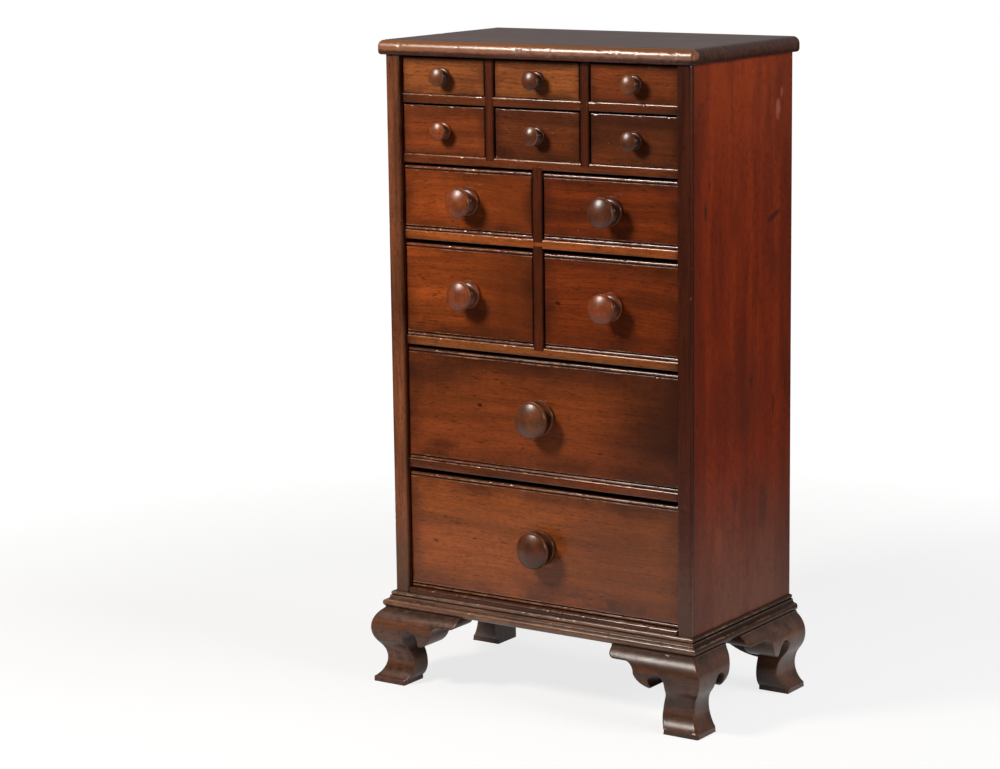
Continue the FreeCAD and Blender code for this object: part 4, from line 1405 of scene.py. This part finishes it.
@dataclass
class BracketFoot:
    """A foot of two brackets with an ogee face and a scrolled lower edge."""

    hand: Hand
    face: float = 190.0
    front: float = -97.5
    back: float = 115.5
    stock: float = 17.0
    top: float = 85.0
    pad: float = 5.4
    leg: float = 23.0
    side_leg: float = 18.5
    side_spread: float = 0.85
    side_hole: float = 8.5
    wing_under: float = 72.3
    wing_round: float = 8.0
    front_wing: float = 92.0
    side_wing: float = 58.0
    rear_wing: float = 110.0
    rear_shift: float = 14.0
    rear_spring: float = 30.0
    rear_length: float = 104.0
    rear_thick: float = 18.0
    mitre_round: float = 1.8
    edge_round: float = 1.3
    grid: float = 1.7
    plain_top: float = 2.5
    plain_floor: float = 1.2
    far: float = 9.0

    def finish(self) -> Walnut:
        """The finish of this side's feet: the left pair paler, the right pair darker, as painted light
        from the key lamp on the left.
        """
        return FOOT.toned(f"{self.hand.label}_foot_polish", FOOT_TONES_BY_LIGHT[self.hand], 11.3 + self.hand.value)

    def ogee_face(self) -> Array:
        """Reach and height of the face from the floor up: pad, hollow neck, bulge and brow.

        Returns:
            The points.
        """
        neck, bulge, brow = (8.0, 26.0), (21.0, 62.0), (9.0, 83.5)
        edge = (17.8, self.pad + 0.4)
        return trace((19, 0), ((19, self.pad), 3), (edge, 1), (upright_arc(neck, edge), neck, 14),
                     *ogee(neck, bulge, 12), (upright_arc(bulge, brow), brow, 14), ((9, self.top), 1))

    def reach(self, height: Array) -> Array:
        """How far the face stands out at a height: the section read as a table."""
        face = self.ogee_face()
        return np.interp(height, face[:, 1], face[:, 0])

    def leg_scroll(self, leg: float, spread: float = 1.0, radius: float = 9.5) -> Path:
        """The path from the floor up the leg, round the drilled hole and to the tip of its hook.

        Args:
            leg: how wide the leg is at the floor.
            spread: how wide the scroll is drawn.
            radius: the radius of the hole.

        Returns:
            The start and the legs, as trace() takes them.
        """
        swell, hole = (leg + 7 * spread, 20.0), (leg + 9 * spread, 53.5)
        ankle, start = (leg + 1, self.pad), (hole[0] - radius, hole[1])
        turn = math.radians(40)
        end = (hole[0] + radius * math.cos(turn), hole[1] - radius * math.sin(turn))
        return ((leg, 0), ((leg, self.pad), 3), (ankle, 1), (upright_arc(swell, ankle), swell, 10),
                *ogee(swell, start, 12), ((hole[0], hole[1] + radius), end, 20),
                ((leg + 19 * spread, 45.5), 3))

    def long_wing(self, leg: float, wing: float) -> tuple[Leg, ...]:
        """The path from the hook on: a lobe, a hollow and a long wing with a rounded end.

        Args:
            leg: how wide the leg is at the floor.
            wing: how far the wing reaches from the corner.

        Returns:
            The legs, to follow those of leg_scroll().
        """
        lobe, low, r = (leg + 36.5, 60.5), self.wing_under, self.wing_round
        turn = r * (1 - math.sqrt(0.5))
        return (((leg + 29, 50.3), lobe, 14), ((leg + 39.6, 68.8), (leg + 48, low), 10),
                ((wing - r, low), 12), ((wing - turn, low + turn), (wing, low + r), 8), ((wing, self.top), 3))

    def short_wing(self) -> tuple[Leg, ...]:
        """The legs of the side bracket from the hook on, where it sweeps up to the moulding."""
        leg, spread = self.side_leg, self.side_spread
        return (((leg + 26.5 * spread, 52), (leg + 31 * spread, 62.0), 14),
                ((leg + 36 * spread, 73.5), (self.side_wing, self.top), 16))

    def rear_scroll(self) -> Array:
        """The edge of the flat board across the back, which springs from the leg in a rising curve."""
        stock, foot, end = self.stock, self.rear_spring, self.rear_length
        return trace((stock, foot), ((stock + 6, foot), 4), ((stock + 44, 38), (end - 8, 66), 36),
                     ((end, self.top), 10), ((stock, self.top), 44), ((stock, foot), 28))[:-1]

    @staticmethod
    def inside(points: Array, loop: Array) -> Array:
        """Which points lie inside a loop: a ray to the right crosses its edges an odd number of times.

        Args:
            points: the points.
            loop: the corners of the loop.

        Returns:
            True for each point inside.
        """
        start, end = loop, np.roll(loop, -1, 0)
        x, z = points[:, :1], points[:, 1:]
        spans = (start[:, 1] > z) != (end[:, 1] > z)
        rise = np.where(end[:, 1] == start[:, 1], 1e-9, end[:, 1] - start[:, 1])
        at = start[:, 0] + (z - start[:, 1]) * (end[:, 0] - start[:, 0]) / rise
        return (spans & (x < at)).sum(1) % 2 == 1

    @staticmethod
    def from_edge(points: Array, loop: Array) -> Array:
        """Distance of each point from the nearest edge of a loop.

        Args:
            points: the points.
            loop: the corners of the loop.

        Returns:
            The distances.
        """
        start, run = loop, np.roll(loop, -1, 0) - loop
        offset = points[:, None] - start[None]
        t = np.clip((offset * run).sum(-1) / np.maximum((run * run).sum(-1), 1e-12), 0, 1)
        return np.linalg.norm(offset - t[..., None] * run, axis=-1).min(1)

    def sheet(self, loop: Array) -> tuple[Array, list[list[int]], Array]:
        """A flat outline filled with triangles over a grid and three rows of points inside its edge.

        Args:
            loop: the outline, anticlockwise.

        Returns:
            The points, the triangles, and each point's distance from the outline.
        """
        low, high = loop.min(0), loop.max(0)
        steps = [np.arange(low[i], high[i], self.grid) for i in range(2)]
        inner = np.stack(np.meshgrid(*steps), -1).reshape(-1, 2)
        inward, r = inward_of(loop), self.edge_round
        depths = ((0.25, 0.2), (0.6, 0.5), (1.0, 0.9))
        rows = [(inner, 1.5)] + [(loop + inward * r * part, least) for part, least in depths]
        kept = []
        for points, least in rows:
            points = points[self.inside(points, loop)]
            kept.append(points[self.from_edge(points, loop) > least * r])
        flat = np.vstack([loop, *kept])
        edge = list(range(len(loop)))
        made = delaunay_2d_cdt([Vector(p) for p in flat.tolist()], [], [edge], 1, 1e-6)
        points = np.array([tuple(p) for p in made[0]])
        return points, [list(face) for face in made[2]], self.from_edge(points, loop)

    def panel(self, name: str, flat: tuple[Array, list[list[int]], Array], outer: Array, inner: Array,
              masks: dict[str, Array]) -> bpy.types.Object:
        """A closed solid between two copies of a sheet, with walls along its outline.

        Args:
            name: the piece's name.
            flat: the sheet, as sheet() gives it.
            outer: places of its points on the outer face.
            inner: places of its points on the inner face.
            masks: masks of the outer face.

        Returns:
            The object.
        """
        triangles = np.array(flat[1])
        count = len(outer)
        runs = np.vstack([triangles[:, [0, 1]], triangles[:, [1, 2]], triangles[:, [2, 0]]])
        keys, other = runs[:, 0] * count + runs[:, 1], runs[:, 1] * count + runs[:, 0]
        rim = runs[~np.isin(keys, other)]
        walls = np.stack([rim[:, 1], rim[:, 0], rim[:, 0] + count, rim[:, 1] + count], -1)
        faces = triangles.tolist() + (triangles[:, ::-1] + count).tolist() + walls.tolist()
        points = np.vstack([outer, inner]) * np.array([self.hand.value, 1, 1])
        # the inner face gets painted shade
        plain = {"arris": 0.0, "hollow": 1.0, "rim": 0.0}
        both = {key: np.concatenate([value, np.full(count, plain[key])]) for key, value in masks.items()}
        piece = mesh_piece(name, points, faces, both, 50)
        welded = bmesh.new()
        welded.from_mesh(piece.data)
        bmesh.ops.remove_doubles(welded, verts=welded.verts, dist=1e-6)
        bmesh.ops.dissolve_degenerate(welded, dist=1e-7, edges=welded.edges)
        welded.to_mesh(piece.data)
        welded.free()
        return piece

    def face_masks(self, height: Array, edge: Array, mitre: Array) -> dict[str, Array]:
        """Wear on the bulge, the pad's edge, the mitre and the scroll; soiling in the neck and painted shade
        just under the moulding.

        Args:
            height: of each point above the floor.
            edge: its distance from the scroll.
            mitre: its distance from the mitre.

        Returns:
            The masks by name.
        """
        crest = 0.9 * near(height - 66, 6) + 0.75 * near(height - 22, 5) + 0.9 * near(height - self.pad, 1.2)
        return {
            "arris": np.minimum(0.6 * near(edge, 0.8) + 0.5 * near(mitre, 1.2) + crest, 1),
            # soiling in the neck; painted shade under the moulding
            "hollow": 0.1 * near(height - 30, 8) + 0.6 * near(height - self.top, 4),
            "rim": ease(edge, 0, 16),
        }

    def free_edge(self, height: Array, edge: Array) -> Array:
        """Distance from the edges that are softened: far at the top and at the floor, where none is."""
        return np.where((height > self.top - self.plain_top) | (height < self.plain_floor), self.far, edge)

    def worn(self, run: Array, height: Array, seed: int) -> Array:
        """How deep the face is worn: slow waves and a few small dents, fading at the top and the floor.

        Args:
            run: how far along the face each point is.
            height: how high.
            seed: of the random draws.

        Returns:
            The depth at each point.
        """
        dents = 0.3 * bruises(run, height, (6, 6), seed + 1, 0.86, 0.96)
        waves = 0.3 * noise(run / 22, height / 15, seed=seed)
        return (waves + dents) * ease(height, 0, 5) * ease(-height, -self.top, -self.top + 4)

    def build_front(self) -> None:
        """Front and side bracket as one sheet bent round the mitre.

        A point of the sheet has a run s, counted from the mitre along the front for s > 0 and along
        the side for s < 0, and a height z. The distance from the case's corner is |s| less the reach.
        """
        front = trace(*self.leg_scroll(self.leg), *self.long_wing(self.leg, self.front_wing))
        side = trace(*self.leg_scroll(self.side_leg, self.side_spread, self.side_hole), *self.short_wing())
        bend = [np.column_stack([path[:, 0] + self.reach(path[:, 1]), path[:, 1]]) for path in (front, side)]
        bend[1][:, 0] *= -1
        across = line(tuple(bend[0][-1]), tuple(bend[1][-1]), 90)[:-1]
        floor = line(tuple(bend[1][0]), tuple(bend[0][0]), 50)[:-1]
        loop = np.vstack([bend[0], across, bend[1][::-1], floor])
        flat = self.sheet(loop)
        s, z = flat[0][:, 0], flat[0][:, 1]
        edge = self.free_edge(z, flat[2])
        drop = rounding(edge, self.edge_round) + self.worn(s, z, 90)
        reach = self.reach(z)
        r = self.mitre_round
        turn = np.clip(s / r, -1, 1) * math.pi / 4
        out = reach - drop
        along = np.abs(s) - reach
        bent = np.abs(s) < r
        corner = -reach + r
        x = np.where(s >= 0, along, -out)
        y = np.where(s >= 0, -out, along)
        spin = math.pi / 4 + turn
        x = np.where(bent, corner - r * np.cos(spin) + drop * np.cos(spin), x)
        y = np.where(bent, corner - r * np.sin(spin) + drop * np.sin(spin), y)
        outer = np.stack([self.face - x, self.front + y, z], -1)
        inward = np.maximum(along, self.stock)
        inner = np.stack([self.face - np.where(s >= 0, inward, self.stock),
                          self.front + np.where(s >= 0, self.stock, inward), z], -1)
        name = f"front_{self.hand.label}_foot"
        masks = self.face_masks(z, edge, s)
        dress(self.panel(name + "_brackets", flat, outer, inner, masks), self.finish(), "case", name)

    def build_rear(self) -> None:
        """The rear side bracket with its ogee face, and the flat board across the back."""
        name = f"rear_{self.hand.label}_foot"
        scroll = trace(*self.leg_scroll(self.leg), *self.long_wing(self.leg, self.rear_wing))
        scroll[:, 0] += self.rear_shift
        round_it = trace(tuple(scroll[-1]), ((0, self.top), 70), ((0, 0), 50), (tuple(scroll[0]), 24))
        flat = self.sheet(np.vstack([scroll, round_it[1:-1]]))
        a, z = flat[0][:, 0], flat[0][:, 1]
        edge = self.free_edge(z, flat[2])
        drop = rounding(edge, self.edge_round) + self.worn(a, z, 93)
        outer = np.stack([self.face + self.reach(z) - drop, self.back - a, z], -1)
        inner = np.stack([np.full_like(a, self.face - self.stock), self.back - a, z], -1)
        masks = self.face_masks(z, edge, np.full_like(a, self.far))
        dress(self.panel(name + "_side_bracket", flat, outer, inner, masks), self.finish(), "case", name)
        flat = self.sheet(self.rear_scroll())
        a, z = flat[0][:, 0], flat[0][:, 1]
        drop = rounding(self.free_edge(z, flat[2]), self.edge_round)
        outer = np.stack([self.face - a, self.back - drop, z], -1)
        inner = np.stack([self.face - a, np.full_like(a, self.back - self.rear_thick), z], -1)
        masks = {"arris": 0.6 * near(flat[2], 0.9), "hollow": 0.6 + 0 * a, "rim": ease(flat[2], 0, 20)}
        dress(self.panel(name + "_back_bracket", flat, outer, inner, masks), self.finish(), "case", name)


# Drawers


@dataclass
class DrawerFront:
    """A drawer front, plain or with a scratch bead along its top and bottom edges."""

    label: str
    beaded: bool
    finish: Walnut
    bead: float = 3.3
    quirk: float = 1.5
    end_gap: float = 0.12
    soft_end: float = 1.1

    @property
    def field(self) -> float:
        """How far from the edge the flat field begins."""
        return self.bead + self.quirk if self.beaded else 0.0

    def section(self, low: Array, high: Array) -> Array:
        """The front's section: back, lower edge, face and upper edge, anticlockwise in Y and Z.

        Args:
            low: the least corner of the front's box.
            high: its greatest corner.

        Returns:
            The points of the closed section.
        """
        front, back = low[1], high[1]
        floor, top = low[2], high[2]
        if not self.beaded:
            count = max(6, round((top - floor) / 2))
            return rounded_box((front, floor), (back, top), (0.7, 0.1, 0.1, 0.7), (5, 2, 5, count), 5)
        r, field = self.bead / 2, self.field
        count = max(6, round((top - floor - 2 * field) / 2))
        face = np.vstack([
            [(front + r, top)], arc((front + r, top), (front, top - r), (front + r, top - 2 * r), 10),
            line((front + r, top - 2 * r), (front + 0.25, top - field + 0.2), 3), [(front, top - field)],
            line((front, top - field), (front, floor + field), count),
            line((front + 0.25, floor + field - 0.2), (front + r, floor + 2 * r), 3),
            arc((front + r, floor + 2 * r), (front, floor + r), (front + r, floor), 10),
        ])
        return np.vstack([face, line((front + r, floor), (back, floor), 5),
                          line((back, floor), (back, top), 3), line((back, top), (front + r, top), 5)[:-1]])

    def build(self) -> None:
        """The section carried across the drawer, with softened ends, dents and masks."""
        node = self.label + "_front"
        low, high = node_box(node)
        places, _ = stations(low[0] + self.end_gap, high[0] - self.end_gap, 1.3, self.soft_end)
        rings = carried(self.section(low, high), places, np.zeros(len(places)), Plan.ALONG_X)
        x, y, z = (rings[..., i] for i in range(3))
        seed = int(self.finish.seed * 10)
        ends = np.minimum(x - low[0], high[0] - x)
        edge = np.minimum(z - low[2], high[2] - z)
        face = ease(low[1] + 3 - y, 0, 1)
        soft = rounding(ends - self.end_gap, self.soft_end)
        sway = 0.22 * noise(x / 70, z / 40, seed=seed)
        hurt = 0.5 * ease(noise(x / 4, z / 2.5, seed=seed + 1), 0.76, 0.92)
        hurt *= near(np.minimum(edge, ends), 4.5)
        rings[..., 1] += face * (soft + sway + hurt)
        if self.beaded:
            # pale on the bead and at the field's edge: wear, on the bead widened into a painted highlight
            arris = 0.95 * near(edge - self.bead / 2, 1.1) + 0.9 * near(edge - self.field, 0.45)
            # soiling in the quirk and painted shade over the bead
            hollow = np.maximum(near(edge - self.bead - 0.2, 0.85),
                                0.3 * ease(-edge, -self.bead, 0.3 - self.bead))
        else:
            arris, hollow = 0.7 * near(edge, 0.7), np.zeros_like(edge)
        masks = {
            "arris": face * np.minimum(arris + 0.3 * near(ends - 1.2, 0.5), 1),
            # painted shadow at the ends, in the gaps, and painted shade on the hidden faces
            "hollow": np.where(face > 0.5, np.maximum(hollow, 0.9 * near(ends, 1.3)), 0.9),
            "rim": face * ease(np.minimum(edge - self.field, ends), -2, 6 + 0.2 * (high - low)[2]),
        }
        dress(skin(self.label + "_face", rings, masks), self.finish, self.label, node)


@dataclass
class TurnedKnob:
    """A turned knob: base disc, hollow neck and domed head."""

    label: str
    size: float
    reach: float
    finish: Walnut
    segments: int = 72

    def profile(self) -> Array:
        """Depth in front of the drawer and radius, from inside the wood to the crown.

        The head is an oval of two circles that touch: a round rim and a flatter face.
        """
        d, reach = self.size, self.reach
        base, high, rim = 0.12 * d, 0.22 * d, 0.12 * d
        widest, centre = reach - high, 0.5 * d - rim
        face = (centre**2 + high**2 - rim**2) / (2 * (high - rim))
        lean = math.atan2(centre, face - high)
        turns = [math.radians(155), math.radians(122), math.pi / 2, (math.pi / 2 + lean) / 2, lean]
        behind, back, brim, fore, meet = (
            (widest + rim * math.cos(turn), centre + rim * math.sin(turn)) for turn in turns)
        crown = (reach - face * (1 - math.cos(lean / 2)), face * math.sin(lean / 2))
        points = trace(
            (-0.8, 0.45 * d), ((0, 0.45 * d), 2), ((base / 2, 0.48 * d), (base, 0.45 * d), 8),
            ((base, 0.4 * d), 2), (((base + behind[0]) / 2, 0.25 * d), behind, 16), (back, brim, 7),
            (fore, meet, 10), (crown, (reach, 0), 18),
        )
        points[-1] = (reach, 0.004 * d)
        return points

    def build(self) -> None:
        """The profile turned round an axis along Y through the middle of the node."""
        node = self.label + "_knob"
        low, high = node_box(node)
        front = node_box(self.label + "_front")[0][1]
        profile = self.profile()
        angles = np.linspace(0, 2 * math.pi, self.segments, endpoint=False)
        radius = profile[:, 1:] * (1 - 0.012 * np.cos(2 * angles + 0.6))
        radius -= 0.004 * self.size * (profile[:, 1:] > 1)
        rings = np.stack(np.broadcast_arrays(
            (low[0] + high[0]) / 2 + radius * np.cos(angles), front - profile[:, :1],
            (low[2] + high[2]) / 2 + radius * np.sin(angles)), -1)
        depth, out = profile[:, :1] + 0 * radius, profile[:, 1:] / self.size + 0 * radius
        widest = self.reach - 0.22 * self.size
        rim_wear_and_glint = near(depth - widest - 1, 1.5) * (out > 0.44)
        # pale on the base disc's rim: wear and a painted glint
        rim_wear_and_glint += 0.8 * near(depth - 0.06 * self.size, 1.0) * (out > 0.42)
        # painted shade in the neck behind the head
        neck = 1.2 * ease(-out, -0.42, -0.3) * (depth < widest - 0.5)
        # painted shade on the lower half
        under = 0.15 * ease(-np.sin(angles)[None] * out, 0.08, 0.5)
        masks = {
            "arris": np.minimum(rim_wear_and_glint, 1),
            # painted shade in the neck, on the lower half and where the knob meets the front
            "hollow": np.minimum(neck + near(depth, 0.8) + under, 1),
            "rim": 0.75 + 0 * depth,
        }
        dress(skin(self.label + "_turning", rings, masks), self.finish, self.label, node)


@dataclass
class Chest:
    """The twelve drawers; rows three to six are beaded, and each pair of rows has its size of knob."""

    first_beaded: int = 3
    knob_sizes: tuple[Point, ...] = ((20, 17), (32, 26), (40, 26.5))

    def tones(self) -> dict[str, tuple[Tone, Tone]]:
        """The tone of each drawer's front and of its knob.

        Returns:
            Both tones by the drawer's name.
        """
        return {
            "drawer_1_left": (Tone.HAZEL, Tone.BROWN),
            "drawer_1_middle": (Tone.HAZEL, Tone.UMBER),
            "drawer_1_right": (Tone.AMBER, Tone.BROWN),
            "drawer_2_left": (Tone.AMBER, Tone.COPPER),
            "drawer_2_middle": (Tone.SEPIA, Tone.UMBER),
            "drawer_2_right": (Tone.SEPIA, Tone.UMBER),
            "drawer_3_left": (Tone.COPPER, Tone.AMBER),
            "drawer_3_right": (Tone.CHESTNUT, Tone.UMBER),
            "drawer_4_left": (Tone.COPPER, Tone.AMBER),
            "drawer_4_right": (Tone.CHESTNUT, Tone.AMBER),
            "drawer_5_wide": (Tone.AMBER, Tone.BROWN),
            "drawer_6_wide": (Tone.TAWNY, Tone.UMBER),
        }

    def marks(self) -> dict[str, tuple[Mark, ...]]:
        """Stains and dark patches on some of the fronts, in the plane of their faces; the large dark patch at
        the right of each wide front is painted shade over darker wood.

        Returns:
            The marks by the drawer's name.
        """
        return {
            "drawer_2_middle": (front_mark((-42, 597), (18, 10), (44, 22, 14), 0.7),),
            "drawer_3_left": (front_mark((-30, 530), (90, 110), (96, 42, 16), 0.6, 0.3),),
            "drawer_4_left": (front_mark((-20, 440), (100, 130), (78, 34, 14), 0.7, 0.3),),
            "drawer_4_right": (front_mark((24, 441), (6, 3.5), (30, 15, 10), 0.85),
                               front_mark((16, 436), (9, 5), (60, 26, 12), 0.5)),
            "drawer_5_wide": (front_mark((10, 372), (230, 26), (50, 29, 18), 0.6, 0.5),
                              front_mark((-145, 352), (100, 26), (48, 26, 16), 0.65, 0.5),
                              # painted shade towards the right end, over darker wood
                              front_mark((180, 318), (130, 110), (44, 22, 14), 0.8, 0.3),
                              front_mark((-78, 322), (5, 3), (40, 18, 10), 0.8),
                              front_mark((-124, 274), (30, 8), (60, 28, 15), 0.5)),
            "drawer_6_wide": (front_mark((89, 122), (13, 6), (66, 42, 32), 0.6),
                              front_mark((124, 120), (10, 9), (70, 44, 32), 0.5),
                              # painted shade towards the right half, over darker wood
                              front_mark((150, 170), (190, 130), (88, 48, 27), 0.6, 0.3),
                              front_mark((43, 127), (14, 5), (74, 46, 32), 0.4),
                              front_mark((-70, 108), (12, 6), (70, 42, 30), 0.5)),
        }

    def build(self) -> None:
        """A front and a knob for each drawer, and a finish for its box."""
        marks = self.marks()
        for number, (label, (front, knob)) in enumerate(self.tones().items()):
            row = int(label.split("_")[1])
            vary, blotch = (0.2, 0.3) if label.endswith("wide") else (0.3, 0.5)
            face = DRAWER.toned(f"{label}_polish", front.value, 20 + 1.7 * number, vary)
            face = replace(face, marks=marks.get(label, ()), blotch=blotch)
            DrawerFront(label, row >= self.first_beaded, face).build()
            turning = KNOB.toned(f"{label}_knob_polish", knob.value, 13 + 2.3 * number)
            TurnedKnob(label, *self.knob_sizes[(row - 1) // 2], turning).build()
            keep(label + "_box", Poplar("drawer_box_poplar", "poplar"))


@dataclass
class Case:
    """Everything that stands still: boards, strips, moulding and feet."""

    def build(self) -> None:
        """Builds the case from the top down and dresses the boards that keep their nodes."""
        TopBoard().build()
        for hand in Hand:
            FacingStrip(hand).build()
            keep(f"{hand.label}_side", SIDE)
        for row, tone in enumerate((Tone.SEPIA, Tone.SEPIA, Tone.TAWNY, Tone.HAZEL, Tone.SEPIA), 1):
            Rail(row, tone).build()
        Dividers("upper_divider", "upper_dividers", (-65, 54), 11).build()
        Dividers("middle_upright", "middle_divider", (-6.25,), 12.5).build()
        Dividers("lower_upright", "lower_divider_board", (-6.25,), 12.5).build()
        FloorLip().build()
        BaseMoulding().build()
        for hand in Hand:
            foot = BracketFoot(hand)
            foot.build_front()
            foot.build_rear()
        low, high = (corner[0] * MM for corner in node_box("back_boards"))
        keep("back_boards", BoardedPoplar("back_poplar", "poplar", axis=GrainAxis.UPRIGHT, seed=6.0,
                                          left=low, wide=(high - low) / 3))
        keep("base_blocks", Poplar("block_poplar", "poplar", axis=GrainAxis.ACROSS, seed=9.0))
        keep("back_nails", NailIron("nail_rust", "nail_iron"))


# Studio


@dataclass
class Studio:
    """Floor, lamps, world and camera."""

    azimuth: float = 34.238
    elevation: float = 10.645
    roll: float = -0.761
    distance: float = 3076.157
    target: Triple = (-50.234, -91.5, 347.231)
    focal: float = 2871.294
    width: int = 1000
    sensor: float = 36.0
    floor_half: float = 9.0

    def camera(self) -> None:
        """A camera at the distance from its target along the view's back vector, rolled a little."""
        a, e, roll = (math.radians(v) for v in (self.azimuth, self.elevation, self.roll))
        back = Vector((math.sin(a) * math.cos(e), -math.cos(a) * math.cos(e), math.sin(e)))
        right = Vector((math.cos(a), math.sin(a), 0))
        up = back.cross(right)
        turned = right * math.cos(roll) + up * math.sin(roll)
        raised = up * math.cos(roll) - right * math.sin(roll)
        lens = bpy.data.cameras.new("view")
        lens.sensor_fit = "HORIZONTAL"
        lens.sensor_width = self.sensor
        lens.lens = self.focal * self.sensor / self.width
        lens.clip_end = 100
        eye = add_object("view", lens)
        place = (Vector(self.target) + back * self.distance) * MM
        eye.matrix_world = Matrix.Translation(place) @ Matrix((turned, raised, back)).transposed().to_4x4()
        bpy.context.scene.camera = eye

    def lamp(self, name: str, place: Triple, aim: Triple, size: Point, power: float,
             colour: Rgb = (255, 255, 255), mirrored: bool = True, spread: float = 180) -> None:
        """A rectangular lamp that stands at a place and looks at a point.

        Args:
            name: the lamp's name.
            place: where it stands, in metres.
            aim: the point that it looks at, in metres.
            size: its width and height, in metres.
            power: its power, in watts.
            colour: the colour of its light.
            mirrored: whether it leaves a highlight in the polish.
            spread: the angle of its beam, in degrees.
        """
        light = bpy.data.lights.new(name, "AREA")
        light.shape = "RECTANGLE"
        light.size, light.size_y = size
        light.energy = power
        light.spread = math.radians(spread)
        light.color = linear(colour)[:3]
        lamp = add_object(name, light)
        lamp.visible_glossy = mirrored
        back = (Vector(place) - Vector(aim)).normalized()
        lamp.matrix_world = Matrix.Translation(place) @ back.to_track_quat("Z", "Y").to_matrix().to_4x4()

    def world(self) -> None:
        """White to the camera; to the object a dim room that is pale behind and above."""
        world = bpy.data.worlds.new("room")
        bpy.context.scene.world = world
        graph = Graph.fresh(world)
        direction = graph.split(graph.node("ShaderNodeTexCoord").outputs["Generated"])
        behind = graph.spread(direction["Y"], -0.2, 0.95, 0.02, 0.3)
        path = graph.node("ShaderNodeLightPath").outputs
        seen = graph.math("MAXIMUM", path["Is Camera Ray"], path["Is Transmission Ray"])
        seen = graph.math("MAXIMUM", seen, graph.times(path["Is Glossy Ray"], 0.05))
        room = graph.give(graph.node("ShaderNodeBackground"), Color=(1, 1, 1, 1),
                          Strength=graph.math("MAXIMUM", behind, seen))
        graph.give(graph.node("ShaderNodeOutputWorld"), Surface=room.outputs[0])

    def floor(self) -> None:
        """A wide pale floor that shows white with the cabinet's soft shadow; polish mirrors it near by."""
        mesh = bpy.data.meshes.new("floor")
        half = self.floor_half
        corners = [(-half, -half, 0), (half, -half, 0), (half, half, 0), (-half, half, 0)]
        mesh.from_pydata(corners, [], [(0, 1, 2, 3)])
        floor = add_object("floor", mesh)
        material = bpy.data.materials.new("floor_white")
        graph = Graph.fresh(material)
        path = graph.node("ShaderNodeLightPath").outputs
        seen = graph.math("MAXIMUM", path["Is Camera Ray"], path["Is Transmission Ray"])
        shade = graph.mix(path["Is Diffuse Ray"], (0.06, 0.06, 0.06, 1), (0.42, 0.41, 0.4, 1))
        shade = graph.mix(seen, shade, (0.2, 0.2, 0.2, 1))
        matt = graph.give(graph.node("ShaderNodeBsdfDiffuse"), Color=shade)
        far = graph.length(graph.own_place())
        shown = graph.times(seen, graph.spread(far, 0.5, 1.6, 0.78, 1))
        mirrored = graph.times(path["Is Glossy Ray"], graph.spread(far, 0.3, 1.4, 0.7, 0.02))
        glow = graph.give(graph.node("ShaderNodeEmission"), Strength=graph.math("MAXIMUM", shown, mirrored))
        both = graph.fill(graph.node("ShaderNodeAddShader"), matt.outputs[0], glow.outputs[0])
        graph.give(graph.node("ShaderNodeOutputMaterial"), Surface=both.outputs[0])
        mesh.materials.append(material)

    def build(self) -> None:
        """Sets the stage and the plain view transform."""
        self.camera()
        self.floor()
        self.world()
        self.lamp("key", (-0.48, -0.93, 1.14), (0, -0.09, 0.36), (0.3, 0.3), 17, (255, 247, 238))
        self.lamp("low", (0.25, -0.95, 0.06), (0.02, -0.1, 0.05), (0.8, 0.1), 0.45, mirrored=False,
                  spread=100)
        self.lamp("right", (2.2, 0.25, 1.5), (0.19, 0, 0.4), (1.1, 1.1), 38, mirrored=False)
        self.lamp("glint", (1.52, -0.3, 0.8), (0.19, -0.05, 0.4), (0.2, 0.3), 4.4)
        bpy.context.scene.view_settings.view_transform = "Standard"


def main() -> None:
    """Builds the cabinet piece by piece and sets the stage."""
    logging.basicConfig(level=logging.INFO, format="%(name)s %(message)s")
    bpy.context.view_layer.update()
    Case().build()
    Chest().build()
    Studio().build()


if __name__ == "__main__":
    main()
